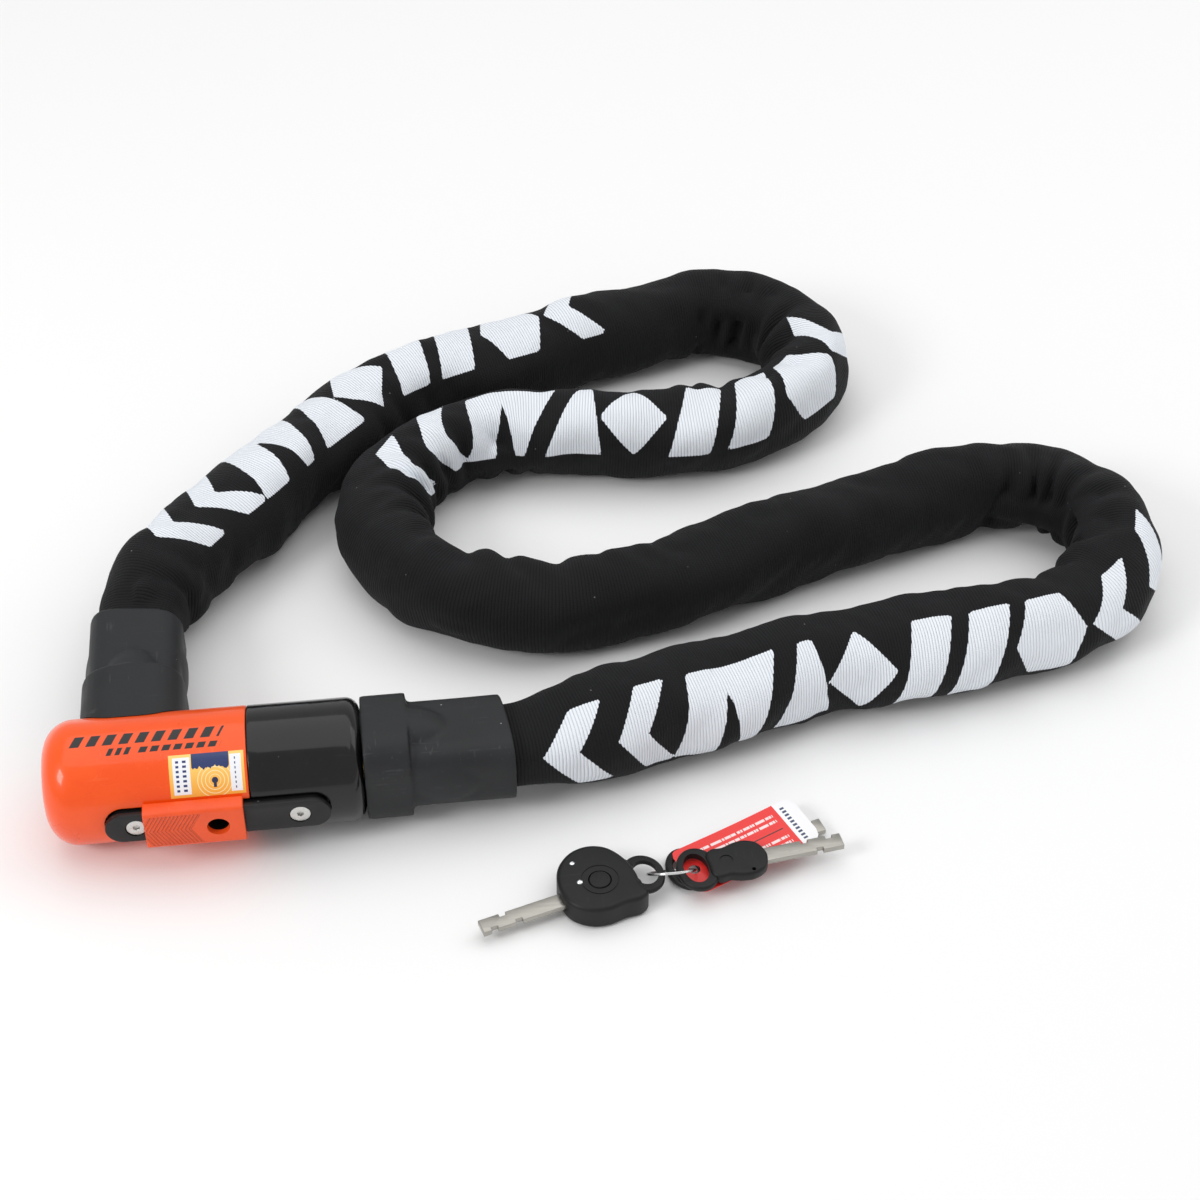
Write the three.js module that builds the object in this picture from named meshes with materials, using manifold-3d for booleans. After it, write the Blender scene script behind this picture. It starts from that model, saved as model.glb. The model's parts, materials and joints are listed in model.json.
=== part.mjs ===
// Chain lock: a barrel lock with a steel chain in a fabric sleeve, laid out in an S, with its keys.
// Millimetres, +Z up. While it is built, x = 0 is the barrel's left end, y = 0 the barrel's axis and
// z = 0 the floor. The last lines move the origin to the middle of the whole lay, on the floor.
import * as THREE from 'three';
import { mergeVertices } from 'three/addons/utils/BufferGeometryUtils.js';
import Module from 'manifold-3d';

const wasm = await Module();
wasm.setup();

// ---- clearances ----
const GAP = 0.3; // between two fixed pieces that seat on each other
const RUN = 0.4; // between two pieces that slide or turn

// ---- barrel: steel housing in two plastic covers ----
const BARREL_LENGTH = 122.8;
const BARREL_RADIUS = 24.5;
const COVER_WALL = 4;
const ORANGE_LENGTH = 79;
const ORANGE_CORNER = 12;
const BLACK_CORNER = 5.5;
const END_WALL = 4.5;
const HOUSING_RADIUS = BARREL_RADIUS - COVER_WALL - GAP;
const HOUSING_CHAMFER = 5;
const AXIS_HEIGHT = BARREL_RADIUS;
const BARREL_SIDES = 36;

// ---- keyway rail, its screws and the dust slider ----
const KEYWAY_X = 66.4;
const RAIL_LENGTH = 86;
const RAIL_HEIGHT = 14;
const RAIL_NECK = 12;
const RAIL_PROUD = 3;
const RAIL_FLANGE = 2.2;
const RAIL_SEAT = 19; // distance of the seat from the barrel's axis
const RAIL_KEYHOLE = 4.8;
const SCREW_SPACING = 62.4;
const SCREW_SHANK = 1.9;
const SCREW_HEAD = 3.9;
const SCREW_HEAD_DEPTH = 2.2;
const SCREW_LENGTH = 13;
const SLIDER_LENGTH = 38;
const SLIDER_WALL = 2.2;
const SLIDER_LEAD = 10; // from the keyway's middle to the slider's right end
const SLIDER_HOLE = 4;
const SLIDER_GRIPS = 6;

// ---- lock cylinder and locking plate ----
const CORE_RADIUS = 6;
const SHELL_WALL = 1.8;
const SHELL_RADIUS = CORE_RADIUS + RUN + SHELL_WALL;
const CYLINDER_FRONT = RAIL_SEAT - GAP; // distance of the cylinder's face from the barrel's axis
const CYLINDER_BACK = 4; // how far it reaches past the axis
const KEYWAY_WIDTH = 2.4;
const KEYWAY_HEIGHT = 7.4;
const KEYWAY_DEPTH = 19;
const SIDEBAR_RADIUS = 0.7;
const DRIVE_RADIUS = 3.54; // drive pin's distance from the core's axis
const DRIVE_PIN = 1.5;
const PLATE_TRAVEL = 5;
const PLATE_THICK = 3;
const PLATE_BAR = 4.5;
const PLATE_BAR_LOW = 12.2;

// ---- end bolt and fixed eye ----
const BOLT_RADIUS = 8;
const BOLT_ENGAGED = 16.5;
const BOLT_GROOVE_START = 2.4; // from the bolt's tip
const BOLT_GROOVE_LENGTH = 5;
const BOLT_GROOVE_RADIUS = 4.6;
const BOLT_FLANGE_RADIUS = 15;
const BOLT_FLANGE = 3;
const EYE_HEIGHT = 26;
const EYE_THICK = 9.2;
const EYE_OPENING = 11.8;
const EYE_POST = 10; // end wall that the first link hangs on
const EYE_REACH = 50.5; // from the barrel's end to the eye's far end
const ANCHOR_X = 33.5;
const ANCHOR_BACK = 12; // anchor pin's distance behind the barrel's axis
const ANCHOR_RADIUS = 4;
const ANCHOR_START = 10;
const ANCHOR_LENGTH = 44;
const FIXED_REACH = 63.5; // from the barrel's axis to the fixed eye's far end
const FIXED_TAIL = 4; // how far the fixed eye reaches past the axis

// ---- rubber boots ----
const COLLAR_LENGTH = 19;
const COLLAR_WIDTH = 41;
const COLLAR_HEIGHT = 43;
const ARM_LENGTH = 40;
const ARM_WIDTH = 45;
const ARM_HEIGHT = 30;
const LIP_WALL = 2.2;
const LIP_DEPTH = 10;
const BOOT_SINK = 18; // how deep the fixed boot's saddle block reaches into the barrel's outline

// ---- chain: wire links, flat and upright by turns ----
const WIRE = 10;
const LINK_INNER_LENGTH = 45.3;
const LINK_INNER_WIDTH = 14;
const LINK_COUNT = 33;
const LINK_SETTLE = 1.4; // a flat link lies this much low, near its upright neighbours' lower wires
const END_SETTLE = 0.95; // the same for the first and last link, which lie in the eyes
const LINK_WIRE_SIDES = 6;
const LINK_BOW_STEPS = 10;

// ---- fabric sleeve ----
const SLEEVE_RADIUS = 21.8;
const SLEEVE_WALL = 1.2;
const SLEEVE_SIDES = 12;
const SLEEVE_STEPS = 62;
const SLEEVE_END_LENGTH = 84;
const SLEEVE_END_STEPS = 8;
const SLEEVE_HEIGHT = SLEEVE_RADIUS * Math.cos(Math.PI / SLEEVE_SIDES) + 0.05;
const MOUTH_GAP = 3; // between a boot's mouth and the sleeve's cut end
const HEIGHT_EASE = 160; // length over which the chain comes down from the barrel's axis

// Centre line of the sleeve from the fixed boot's mouth to the bolt boot's mouth, seen from above.
const ROUTE = [
  [33.5, 84], [37, 104], [51, 130], [71, 156], [92, 181], [113, 205], [135, 227], [160, 243],
  [190, 255], [220, 265], [250, 275], [279, 284], [306, 288], [329, 279], [343, 258], [343, 232],
  [330, 210], [306, 199], [279, 196], [250, 198], [222, 202], [198, 204], [176, 199], [157, 186],
  [143, 168], [138, 147], [142, 125], [154, 106], [172, 93], [195, 86], [219, 84], [245, 89],
  [271, 98], [299, 109], [327, 119], [356, 128], [384, 136], [410, 141], [434, 136], [450, 119],
  [454, 97], [447, 75], [429, 58], [404, 48], [375, 43], [343, 40], [312, 35], [283, 28], [255, 20],
  [229, 12], [206, 4.5],
];

// ---- keys, ring and tag ----
const RING_CENTRE = [237.5, -58.5, 7.5];
const RING_RADIUS = 9.5;
const RING_WIRE = 0.7;
const RING_PULL = 0.9; // the hole of the largest key is pulled this far off the ring's wire
const KEY_HOLE = 4;
const KEY_LOOP = 6;
const KEY_LOOP_THICK = 1.6;
const KEY_BLADE_THICK = 2.4;
const KEY_BLADE_WIDTH = 6.6;
const KEY_TAIL = 9; // length of blade held in the bow
const BOW_RADIUS = 10.5;
const BOW_OFFSET = 15;
const BOW_THICK = 5;
const PLAIN_KEY_LENGTH = 59;
const LED_KEY_LENGTH = 68;
const LED_THICK = 11;
const LED_WIDTH = 24;
const LED_LENGTH = 28;
const LED_OFFSET = 19;
const BUTTON_RADIUS = 4.2;
const BUTTON_TRAVEL = 0.8;
const TAG_LENGTH = 56;
const TAG_WIDTH = 24;
const TAG_THICK = 0.4;
const TAG_HOLE = 2.2;

// ---------------------------------------------------------------------------------------------
// tools
// ---------------------------------------------------------------------------------------------
const lay = new THREE.Group();

const material = (color, roughness, metalness) =>
  new THREE.MeshStandardMaterial({ color, roughness, metalness });
const orangePlastic = () => material(0xf4520f, 0.25, 0);
const blackGloss = () => material(0x0a0a0b, 0.12, 0);
const blackSatin = () => material(0x161617, 0.45, 0);
const rubber = () => material(0x2a2b2d, 0.7, 0);
const fabric = () => material(0x0d0d0e, 0.9, 0);
const steel = () => material(0x9a9a98, 0.35, 1);
const hardSteel = () => material(0x55565a, 0.4, 1);
const goldZinc = () => material(0xb9974a, 0.35, 1);
const brass = () => material(0xb08a45, 0.35, 1);

// A closed geometry as a solid that can be cut and joined.
function solid(geometry) {
  const bare = geometry.clone();
  bare.deleteAttribute('normal');
  bare.deleteAttribute('uv');
  const merged = mergeVertices(bare, 1e-4);
  return new wasm.Manifold(new wasm.Mesh({
    numProp: 3,
    vertProperties: new Float32Array(merged.attributes.position.array),
    triVerts: new Uint32Array(merged.index.array),
  }));
}

function geometryOf(body) {
  const mesh = body.getMesh();
  const geometry = new THREE.BufferGeometry();
  geometry.setAttribute('position', new THREE.BufferAttribute(mesh.vertProperties, 3));
  geometry.setIndex(new THREE.BufferAttribute(mesh.triVerts, 1));
  return geometry;
}

// Adds a named piece to a group; body is a geometry or a solid.
function piece(group, name, body, finish) {
  const geometry = body.isBufferGeometry ? body : geometryOf(body);
  const mesh = new THREE.Mesh(geometry, finish);
  mesh.name = name;
  group.add(mesh);
  return mesh;
}

function joined(bodies) {
  return bodies.reduce((whole, body) => whole.add(body));
}

function cut(body, ...tools) {
  return tools.reduce((rest, tool) => rest.subtract(tool), body);
}

function box(x0, x1, y0, y1, z0, z1) {
  const geometry = new THREE.BoxGeometry(x1 - x0, y1 - y0, z1 - z0);
  geometry.translate((x0 + x1) / 2, (y0 + y1) / 2, (z0 + z1) / 2);
  return solid(geometry);
}

// Cylinder along X from x0 to x1, about the line y, z.
function rodX(radius, x0, x1, y = 0, z = 0, sides = BARREL_SIDES) {
  const geometry = new THREE.CylinderGeometry(radius, radius, x1 - x0, sides);
  geometry.rotateZ(-Math.PI / 2);
  geometry.translate((x0 + x1) / 2, y, z);
  return solid(geometry);
}

// Cylinder along Y from y0 to y1, about the line x, z; radius1 is its radius at y1.
function rodY(radius, y0, y1, x = 0, z = 0, sides = 24, radius1 = radius) {
  const geometry = new THREE.CylinderGeometry(radius1, radius, y1 - y0, sides);
  geometry.translate(x, (y0 + y1) / 2, z);
  return solid(geometry);
}

// Cylinder along Z from z0 to z1, about the point x, y.
function rodZ(radius, z0, z1, x = 0, y = 0, sides = 24) {
  const geometry = new THREE.CylinderGeometry(radius, radius, z1 - z0, sides);
  geometry.rotateX(Math.PI / 2);
  geometry.translate(x, y, (z0 + z1) / 2);
  return solid(geometry);
}

// Outline of straight stretches through the given points.
function outline(points) {
  return new THREE.Shape(points.map(([x, y]) => new THREE.Vector2(x, y)));
}

// Rectangle with rounded corners, about the origin.
function roundedRectangle(width, height, radius) {
  const w = width / 2 - radius;
  const h = height / 2 - radius;
  const quarter = Math.PI / 2;
  const shape = new THREE.Shape();
  shape.absarc(w, h, radius, 0, quarter);
  shape.absarc(-w, h, radius, quarter, 2 * quarter);
  shape.absarc(-w, -h, radius, 2 * quarter, 3 * quarter);
  shape.absarc(w, -h, radius, 3 * quarter, 4 * quarter);
  shape.closePath();
  return shape;
}

function extruded(shape, depth, curveSegments = 6) {
  return new THREE.ExtrudeGeometry(shape, { depth, bevelEnabled: false, curveSegments });
}

// Outline in X and Z, extruded along Y from y0 to y1.
function slabY(shape, y0, y1, curveSegments) {
  const geometry = extruded(shape, y1 - y0, curveSegments);
  geometry.rotateX(Math.PI / 2);
  geometry.translate(0, y1, 0);
  return solid(geometry);
}

// Outline in Y and Z, extruded along X from x0 to x1.
function slabX(shape, x0, x1, curveSegments) {
  const geometry = extruded(shape, x1 - x0, curveSegments);
  geometry.rotateX(Math.PI / 2);
  geometry.rotateZ(Math.PI / 2);
  geometry.translate(x0, 0, 0);
  return solid(geometry);
}

// Outline in X and Y, extruded along Z from z0 to z1.
function slabZ(shape, z0, z1, curveSegments) {
  const geometry = extruded(shape, z1 - z0, curveSegments);
  geometry.translate(0, 0, z0);
  return solid(geometry);
}

// ---------------------------------------------------------------------------------------------
// barrel, in its own group: x along the barrel, the axis at y = z = 0
// ---------------------------------------------------------------------------------------------
const barrel = new THREE.Group();
barrel.position.z = AXIS_HEIGHT;
lay.add(barrel);

const housingStart = END_WALL + GAP;
const housingEnd = BARREL_LENGTH - END_WALL - GAP;
const boltTip = BARREL_LENGTH - BOLT_ENGAGED;
const grooveStart = boltTip + BOLT_GROOVE_START;
const grooveEnd = grooveStart + BOLT_GROOVE_LENGTH;
const drivePinX = KEYWAY_X + DRIVE_RADIUS * Math.SQRT1_2;
const drivePinRise = DRIVE_RADIUS * Math.SQRT1_2;
const plateFront = CYLINDER_BACK + 0.8;
const plateBack = plateFront + PLATE_THICK;
const railBack = -RAIL_SEAT;
const railFace = -BARREL_RADIUS - RAIL_PROUD;
const railLeft = KEYWAY_X - RAIL_LENGTH / 2;

// The locking plate in X and Z: a yoke round the drive pin, a bar over the bolt and a tip that
// drops into the bolt's groove. grow widens it for the housing's pocket, drop lengthens it down.
function plateOutline(grow, drop) {
  const left = drivePinX - 7 - grow;
  const yokeRight = drivePinX + 6 + grow;
  const yokeLow = drivePinRise - 4.5 - grow - drop;
  const barLow = PLATE_BAR_LOW - grow - drop;
  const tipLeft = grooveStart + 1 - grow;
  const tipRight = grooveEnd - 1 + grow;
  const tipLow = BOLT_RADIUS - 1 - grow - drop;
  const top = PLATE_BAR_LOW + PLATE_BAR + grow;
  return outline([
    [left, yokeLow], [yokeRight, yokeLow], [yokeRight, barLow], [tipLeft, barLow],
    [tipLeft, tipLow], [tipRight, tipLow], [tipRight, top], [left, top],
  ]);
}

// Stadium outline of the rail, in X and Z.
function railOutline(height, grow) {
  const half = RAIL_LENGTH / 2 - RAIL_HEIGHT / 2;
  const radius = height / 2 + grow;
  const shape = new THREE.Shape();
  shape.absarc(KEYWAY_X + half, 0, radius, -Math.PI / 2, Math.PI / 2);
  shape.absarc(KEYWAY_X - half, 0, radius, Math.PI / 2, 3 * Math.PI / 2);
  shape.closePath();
  return shape;
}

const screwXs = [KEYWAY_X - SCREW_SPACING / 2, KEYWAY_X + SCREW_SPACING / 2];

// A solid turned about X from a half profile given as [x, radius] points.
function turned(profile) {
  const points = profile.map(([x, radius]) => new THREE.Vector2(radius, x));
  const geometry = new THREE.LatheGeometry(points, BARREL_SIDES);
  geometry.rotateZ(-Math.PI / 2);
  return solid(geometry);
}

function lockBody() {
  const body = turned([
    [housingStart, 0], [housingStart, HOUSING_RADIUS - HOUSING_CHAMFER],
    [housingStart + HOUSING_CHAMFER, HOUSING_RADIUS], [housingEnd, HOUSING_RADIUS], [housingEnd, 0],
  ]);
  const seat = box(railLeft - 1, railLeft + RAIL_LENGTH + 1, -HOUSING_RADIUS - 1,
    railBack + GAP, -RAIL_HEIGHT / 2 - 1, RAIL_HEIGHT / 2 + 1);
  const cylinderBore = rodY(SHELL_RADIUS + GAP, -BARREL_RADIUS, plateFront, KEYWAY_X);
  const boltBore = rodX(BOLT_RADIUS + RUN, boltTip - 1, BARREL_LENGTH, 0, 0, 28);
  const platePocket = slabY(plateOutline(RUN, PLATE_TRAVEL), plateFront - RUN, plateBack + RUN);
  const eyeSlot = box(ANCHOR_X - EYE_THICK / 2 - GAP, ANCHOR_X + EYE_THICK / 2 + GAP,
    -FIXED_TAIL - GAP, BARREL_RADIUS, -EYE_HEIGHT / 2 - GAP, EYE_HEIGHT / 2 + GAP);
  const pinBore = rodX(ANCHOR_RADIUS + GAP, housingStart - 1, ANCHOR_START + ANCHOR_LENGTH + GAP,
    ANCHOR_BACK, 0, 20);
  const screwBores = screwXs.map((x) =>
    rodY(SCREW_SHANK + GAP, railBack - 2, railBack + SCREW_LENGTH, x, 0, 12));
  return cut(body, seat, cylinderBore, boltBore, platePocket, eyeSlot, pinBore, ...screwBores);
}

// Points of a quarter arc for a turned profile.
function cornerArc(x, radius, size, from, to, steps = 5) {
  return Array.from({ length: steps + 1 }, (_, i) => {
    const angle = from + (to - from) * i / steps;
    return [x + size * Math.cos(angle), radius + size * Math.sin(angle)];
  });
}

const railPocket = () => slabY(railOutline(RAIL_HEIGHT, GAP), -BARREL_RADIUS - 1, railBack + 2);

function orangeCover() {
  const inner = BARREL_RADIUS - COVER_WALL;
  const shell = turned([
    [0, 0],
    ...cornerArc(ORANGE_CORNER, BARREL_RADIUS - ORANGE_CORNER, ORANGE_CORNER, Math.PI, Math.PI / 2),
    [ORANGE_LENGTH, BARREL_RADIUS], [ORANGE_LENGTH, inner], [END_WALL + HOUSING_CHAMFER, inner],
    [END_WALL, inner - HOUSING_CHAMFER], [END_WALL, 0],
  ]);
  const eyeWindow = box(ANCHOR_X - EYE_THICK / 2 - GAP, ANCHOR_X + EYE_THICK / 2 + GAP,
    0, BARREL_RADIUS + 1, -EYE_HEIGHT / 2 - GAP, EYE_HEIGHT / 2 + GAP);
  return cut(shell, eyeWindow, railPocket());
}

function blackCover() {
  const inner = BARREL_RADIUS - COVER_WALL;
  const start = ORANGE_LENGTH + GAP;
  const boltHole = BOLT_RADIUS + 1;
  const arc = cornerArc(BARREL_LENGTH - BLACK_CORNER, BARREL_RADIUS - BLACK_CORNER, BLACK_CORNER,
    Math.PI / 2, 0, 4);
  const shell = turned([
    [start, inner], [start, BARREL_RADIUS], ...arc, [BARREL_LENGTH, boltHole],
    [BARREL_LENGTH - END_WALL, boltHole], [BARREL_LENGTH - END_WALL, inner], [start, inner],
  ]);
  return cut(shell, railPocket());
}

// Rail: a wide flange in front that the slider hooks behind, on a narrower neck.
function keywayRail() {
  const flange = slabY(railOutline(RAIL_HEIGHT, 0), railFace, railFace + RAIL_FLANGE, 8);
  const neck = slabY(railOutline(RAIL_NECK, 0), railFace + RAIL_FLANGE - 0.1, railBack, 8);
  const keyHole = rodY(RAIL_KEYHOLE, railFace - 1, railBack + 1, KEYWAY_X);
  const screws = screwXs.flatMap((x) => [
    rodY(SCREW_SHANK + GAP, railFace - 1, railBack + 1, x, 0, 12),
    rodY(SCREW_HEAD + GAP, railFace - 1, railFace + SCREW_HEAD_DEPTH + GAP, x, 0, 20),
  ]);
  return cut(flange.add(neck), keyHole, ...screws);
}

function railScrew(x) {
  const head = rodY(SCREW_HEAD, railFace + 0.3, railFace + SCREW_HEAD_DEPTH, x, 0, 20);
  const shank = rodY(SCREW_SHANK, railFace + SCREW_HEAD_DEPTH - 0.1, railBack + SCREW_LENGTH - 1,
    x, 0, 12);
  const socket = rodY(1.4, railFace, railFace + 1.6, x, 0, 6);
  return cut(head.add(shank), socket);
}

// Slider: a C section that hooks behind the rail's flange, with grips on its left half.
function dustSlider() {
  const right = KEYWAY_X + SLIDER_LEAD;
  const left = right - SLIDER_LENGTH;
  const half = RAIL_HEIGHT / 2 + RUN;
  const front = railFace - RUN;
  const back = railFace + RAIL_FLANGE + RUN;
  const hookIn = RAIL_NECK / 2 + RUN;
  const hookBack = back + 1.1;
  const outside = half + SLIDER_WALL;
  const face = front - SLIDER_WALL;
  const section = outline([
    [face, -outside + 2], [face, outside - 2], [face + 2, outside], [hookBack, outside],
    [hookBack, hookIn], [back, hookIn], [back, half], [front, half], [front, -half],
    [back, -half], [back, -hookIn], [hookBack, -hookIn], [hookBack, -outside], [face + 2, -outside],
  ]);
  const body = slabX(section, left, right);
  const hole = rodY(SLIDER_HOLE, face - 1, front + 1, KEYWAY_X);
  const grips = Array.from({ length: SLIDER_GRIPS }, (_, i) => {
    const x = left + 3 + i * 3;
    return box(x, x + 1.2, face - 1, face + 0.5, -outside + 3, outside - 3);
  });
  return cut(body, hole, ...grips);
}

const sidebarHeight = CORE_RADIUS + GAP + SIDEBAR_RADIUS;

function cylinderShell() {
  const body = rodY(SHELL_RADIUS, -CYLINDER_FRONT, CYLINDER_BACK, KEYWAY_X);
  const bore = rodY(CORE_RADIUS + RUN, -CYLINDER_FRONT - 1, CYLINDER_BACK + 1, KEYWAY_X);
  const barSlot = rodY(SIDEBAR_RADIUS + GAP, -CYLINDER_FRONT + 4, CYLINDER_BACK + 1, KEYWAY_X,
    sidebarHeight, 8);
  return cut(body, bore, barSlot);
}

function sidebar() {
  return rodY(SIDEBAR_RADIUS, -CYLINDER_FRONT + 5, CYLINDER_BACK, KEYWAY_X, sidebarHeight, 8);
}

// The core turns about Y; its eccentric drive pin starts 45 degrees above X and ends 45 below.
function cylinderCore() {
  const body = rodY(CORE_RADIUS, -CYLINDER_FRONT + 0.4, CYLINDER_BACK, KEYWAY_X);
  const pin = rodY(DRIVE_PIN, CYLINDER_BACK - 0.1, plateBack, drivePinX, drivePinRise, 12);
  const keyway = box(KEYWAY_X - KEYWAY_WIDTH / 2, KEYWAY_X + KEYWAY_WIDTH / 2, -CYLINDER_FRONT,
    -CYLINDER_FRONT + KEYWAY_DEPTH, -KEYWAY_HEIGHT / 2, KEYWAY_HEIGHT / 2);
  return cut(body.add(pin), keyway);
}

function lockingPlate() {
  const body = slabY(plateOutline(0, 0), plateFront, plateBack);
  const slack = DRIVE_PIN + RUN;
  const yoke = box(drivePinX - slack, KEYWAY_X + DRIVE_RADIUS + slack, plateFront - 1,
    plateBack + 1, drivePinRise - slack, drivePinRise + slack);
  return cut(body, yoke);
}

// An upright eye plate from x0 to x1 with a long opening that ends at the post.
function eyePlate(x0, x1, openingStart) {
  const corner = EYE_HEIGHT / 2 - 2;
  const bevel = 2;
  const plate = slabY(outline([
    [x0, -EYE_HEIGHT / 2], [x1 - corner, -EYE_HEIGHT / 2], [x1 - 4, -corner / 1.35],
    [x1, -corner / 3], [x1, corner / 3], [x1 - 4, corner / 1.35], [x1 - corner, EYE_HEIGHT / 2],
    [x0, EYE_HEIGHT / 2],
  ]), -EYE_THICK / 2, EYE_THICK / 2);
  const opening = box(openingStart, x1 - EYE_POST, -EYE_THICK, EYE_THICK,
    -EYE_OPENING / 2, EYE_OPENING / 2);
  const edges = [-1, 1].map((side) => {
    const wedge = outline([
      [x1 + 1, side * (EYE_THICK / 2 + 1)], [x1 + 1, side * (EYE_THICK / 2 - bevel)],
      [x1, side * (EYE_THICK / 2 - bevel)], [x1 - bevel, side * EYE_THICK / 2],
      [x1 - bevel, side * (EYE_THICK / 2 + 1)],
    ]);
    return slabZ(wedge, -EYE_HEIGHT, EYE_HEIGHT);
  });
  return cut(plate, opening, ...edges);
}

function endBolt() {
  const flangeStart = BARREL_LENGTH + GAP;
  const shaft = rodX(BOLT_RADIUS, boltTip + 1, flangeStart + 0.1, 0, 0, 28);
  const tip = rodX(BOLT_RADIUS - 1, boltTip, boltTip + 1.1, 0, 0, 28);
  const flange = rodX(BOLT_FLANGE_RADIUS, flangeStart, flangeStart + BOLT_FLANGE, 0, 0, 28);
  const eyeStart = flangeStart + BOLT_FLANGE;
  const eye = eyePlate(eyeStart - 0.1, BARREL_LENGTH + EYE_REACH, eyeStart + 0.8);
  const ring = cut(rodX(BOLT_RADIUS + 1, grooveStart, grooveEnd, 0, 0, 28),
    rodX(BOLT_GROOVE_RADIUS, grooveStart - 1, grooveEnd + 1, 0, 0, 28));
  return cut(joined([shaft, tip, flange, eye]), ring);
}

// The fixed eye, built along +X from the barrel's axis and turned to +Y where it is placed.
function fixedEye() {
  const plate = eyePlate(-FIXED_TAIL, FIXED_REACH, FIXED_REACH - EYE_POST - 16);
  const pinHole = rodY(ANCHOR_RADIUS + GAP, -EYE_THICK, EYE_THICK, ANCHOR_BACK, 0, 20);
  return cut(plate, pinHole);
}

const anchorPin = () =>
  rodX(ANCHOR_RADIUS, ANCHOR_START, ANCHOR_START + ANCHOR_LENGTH, ANCHOR_BACK, 0, 20);

// Rubber boot along +X. start is where its block begins, face where its collar meets the barrel.
function boot(start, face, hollowStart, linkStart, eyeEnd) {
  const collarEnd = face + COLLAR_LENGTH;
  const mouth = collarEnd + ARM_LENGTH;
  const collar = slabX(roundedRectangle(COLLAR_WIDTH, COLLAR_HEIGHT, 13), start, collarEnd, 4);
  const arm = slabX(roundedRectangle(ARM_WIDTH, ARM_HEIGHT, 11), face + 7, mouth, 4);
  const eyeRoom = box(hollowStart, eyeEnd + 1, -EYE_THICK / 2 - GAP, EYE_THICK / 2 + GAP,
    -EYE_HEIGHT / 2 - GAP, EYE_HEIGHT / 2 + GAP);
  const linkRoom = slabX(roundedRectangle(LINK_INNER_WIDTH + 2 * WIRE + 3.2, WIRE + 3, 4),
    linkStart, mouth + 1, 3);
  const lip = slabX(roundedRectangle(ARM_WIDTH - 2 * LIP_WALL, ARM_HEIGHT - 2 * LIP_WALL, 9), mouth - LIP_DEPTH, mouth + 1, 4);
  return cut(collar.add(arm), eyeRoom, linkRoom, lip);
}

function boltBoot() {
  const face = BARREL_LENGTH + GAP;
  const body = boot(face, face, face - 1, face + 7, BARREL_LENGTH + EYE_REACH);
  const flangeRoom = rodX(BOLT_FLANGE_RADIUS + GAP, face - 1, face + BOLT_FLANGE + GAP, 0, 0, 28);
  return cut(body, flangeRoom);
}

function fixedBoot() {
  const body = boot(BARREL_RADIUS - BOOT_SINK, BARREL_RADIUS, 0, BARREL_RADIUS + 6, FIXED_REACH);
  const saddle = rodY(BARREL_RADIUS + GAP, -COLLAR_WIDTH, COLLAR_WIDTH);
  return cut(body, saddle);
}

piece(barrel, 'lock_body', lockBody(), hardSteel());
piece(barrel, 'orange_cover', orangeCover(), orangePlastic());
piece(barrel, 'black_cover', blackCover(), blackGloss());
piece(barrel, 'keyway_rail', keywayRail(), blackSatin());
piece(barrel, 'rail_screw_left', railScrew(screwXs[0]), steel());
piece(barrel, 'rail_screw_right', railScrew(screwXs[1]), steel());
piece(barrel, 'dust_slider', dustSlider(), orangePlastic());
piece(barrel, 'cylinder_shell', cylinderShell(), brass());
piece(barrel, 'cylinder_core', cylinderCore(), brass());
piece(barrel, 'sidebar', sidebar(), steel());
piece(barrel, 'locking_plate', lockingPlate(), hardSteel());
piece(barrel, 'anchor_pin', anchorPin(), hardSteel());
piece(barrel, 'end_bolt', endBolt(), goldZinc());
piece(barrel, 'bolt_end_boot', boltBoot(), rubber());

const fixedEnd = new THREE.Group();
fixedEnd.position.x = ANCHOR_X;
fixedEnd.rotation.z = Math.PI / 2;
barrel.add(fixedEnd);
piece(fixedEnd, 'fixed_end_eye', fixedEye(), goldZinc());
piece(fixedEnd, 'fixed_end_boot', fixedBoot(), rubber());

// ---------------------------------------------------------------------------------------------
// chain and sleeve, along one curve from the fixed eye's post to the bolt eye's post
// ---------------------------------------------------------------------------------------------
const fixedPost = FIXED_REACH - EYE_POST / 2;
const boltPost = BARREL_LENGTH + EYE_REACH - EYE_POST / 2;
const boltMouth = BARREL_LENGTH + GAP + COLLAR_LENGTH + ARM_LENGTH;
const fixedMouth = BARREL_RADIUS + COLLAR_LENGTH + ARM_LENGTH;

const flatRoute = new THREE.CatmullRomCurve3([
  [ANCHOR_X, fixedPost], ...ROUTE, [boltMouth, 0.3], [boltPost, 0],
].map(([x, y]) => new THREE.Vector3(x, y, 0)), false, 'centripetal');
flatRoute.arcLengthDivisions = 2000;
const routeLength = flatRoute.getLength();

// The same curve at its real height: the barrel's axis at both ends, the floor in between.
class ChainCurve extends THREE.Curve {
  constructor(from = 0, to = routeLength) {
    super();
    this.from = from;
    this.to = to;
  }

  getPoint(t, target = new THREE.Vector3()) {
    const along = this.from + (this.to - this.from) * t;
    flatRoute.getPointAt(Math.min(Math.max(along / routeLength, 0), 1), target);
    const fromEnd = Math.min(along, routeLength - along);
    const drop = THREE.MathUtils.smoothstep(fromEnd, 0, HEIGHT_EASE);
    target.z = THREE.MathUtils.lerp(AXIS_HEIGHT, SLEEVE_HEIGHT, drop);
    return target;
  }
}
const chainCurve = new ChainCurve();

// Distance along the curve at which the straight distance from a point on it reaches chord.
function stepAlong(along, chord) {
  const start = chainCurve.getPoint(along / routeLength);
  let low = along + chord * 0.9;
  let high = along + chord * 1.6;
  for (let i = 0; i < 40; i += 1) {
    const middle = (low + high) / 2;
    const reached = chainCurve.getPoint(middle / routeLength).distanceTo(start);
    if (reached < chord) low = middle; else high = middle;
  }
  return low;
}

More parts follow.
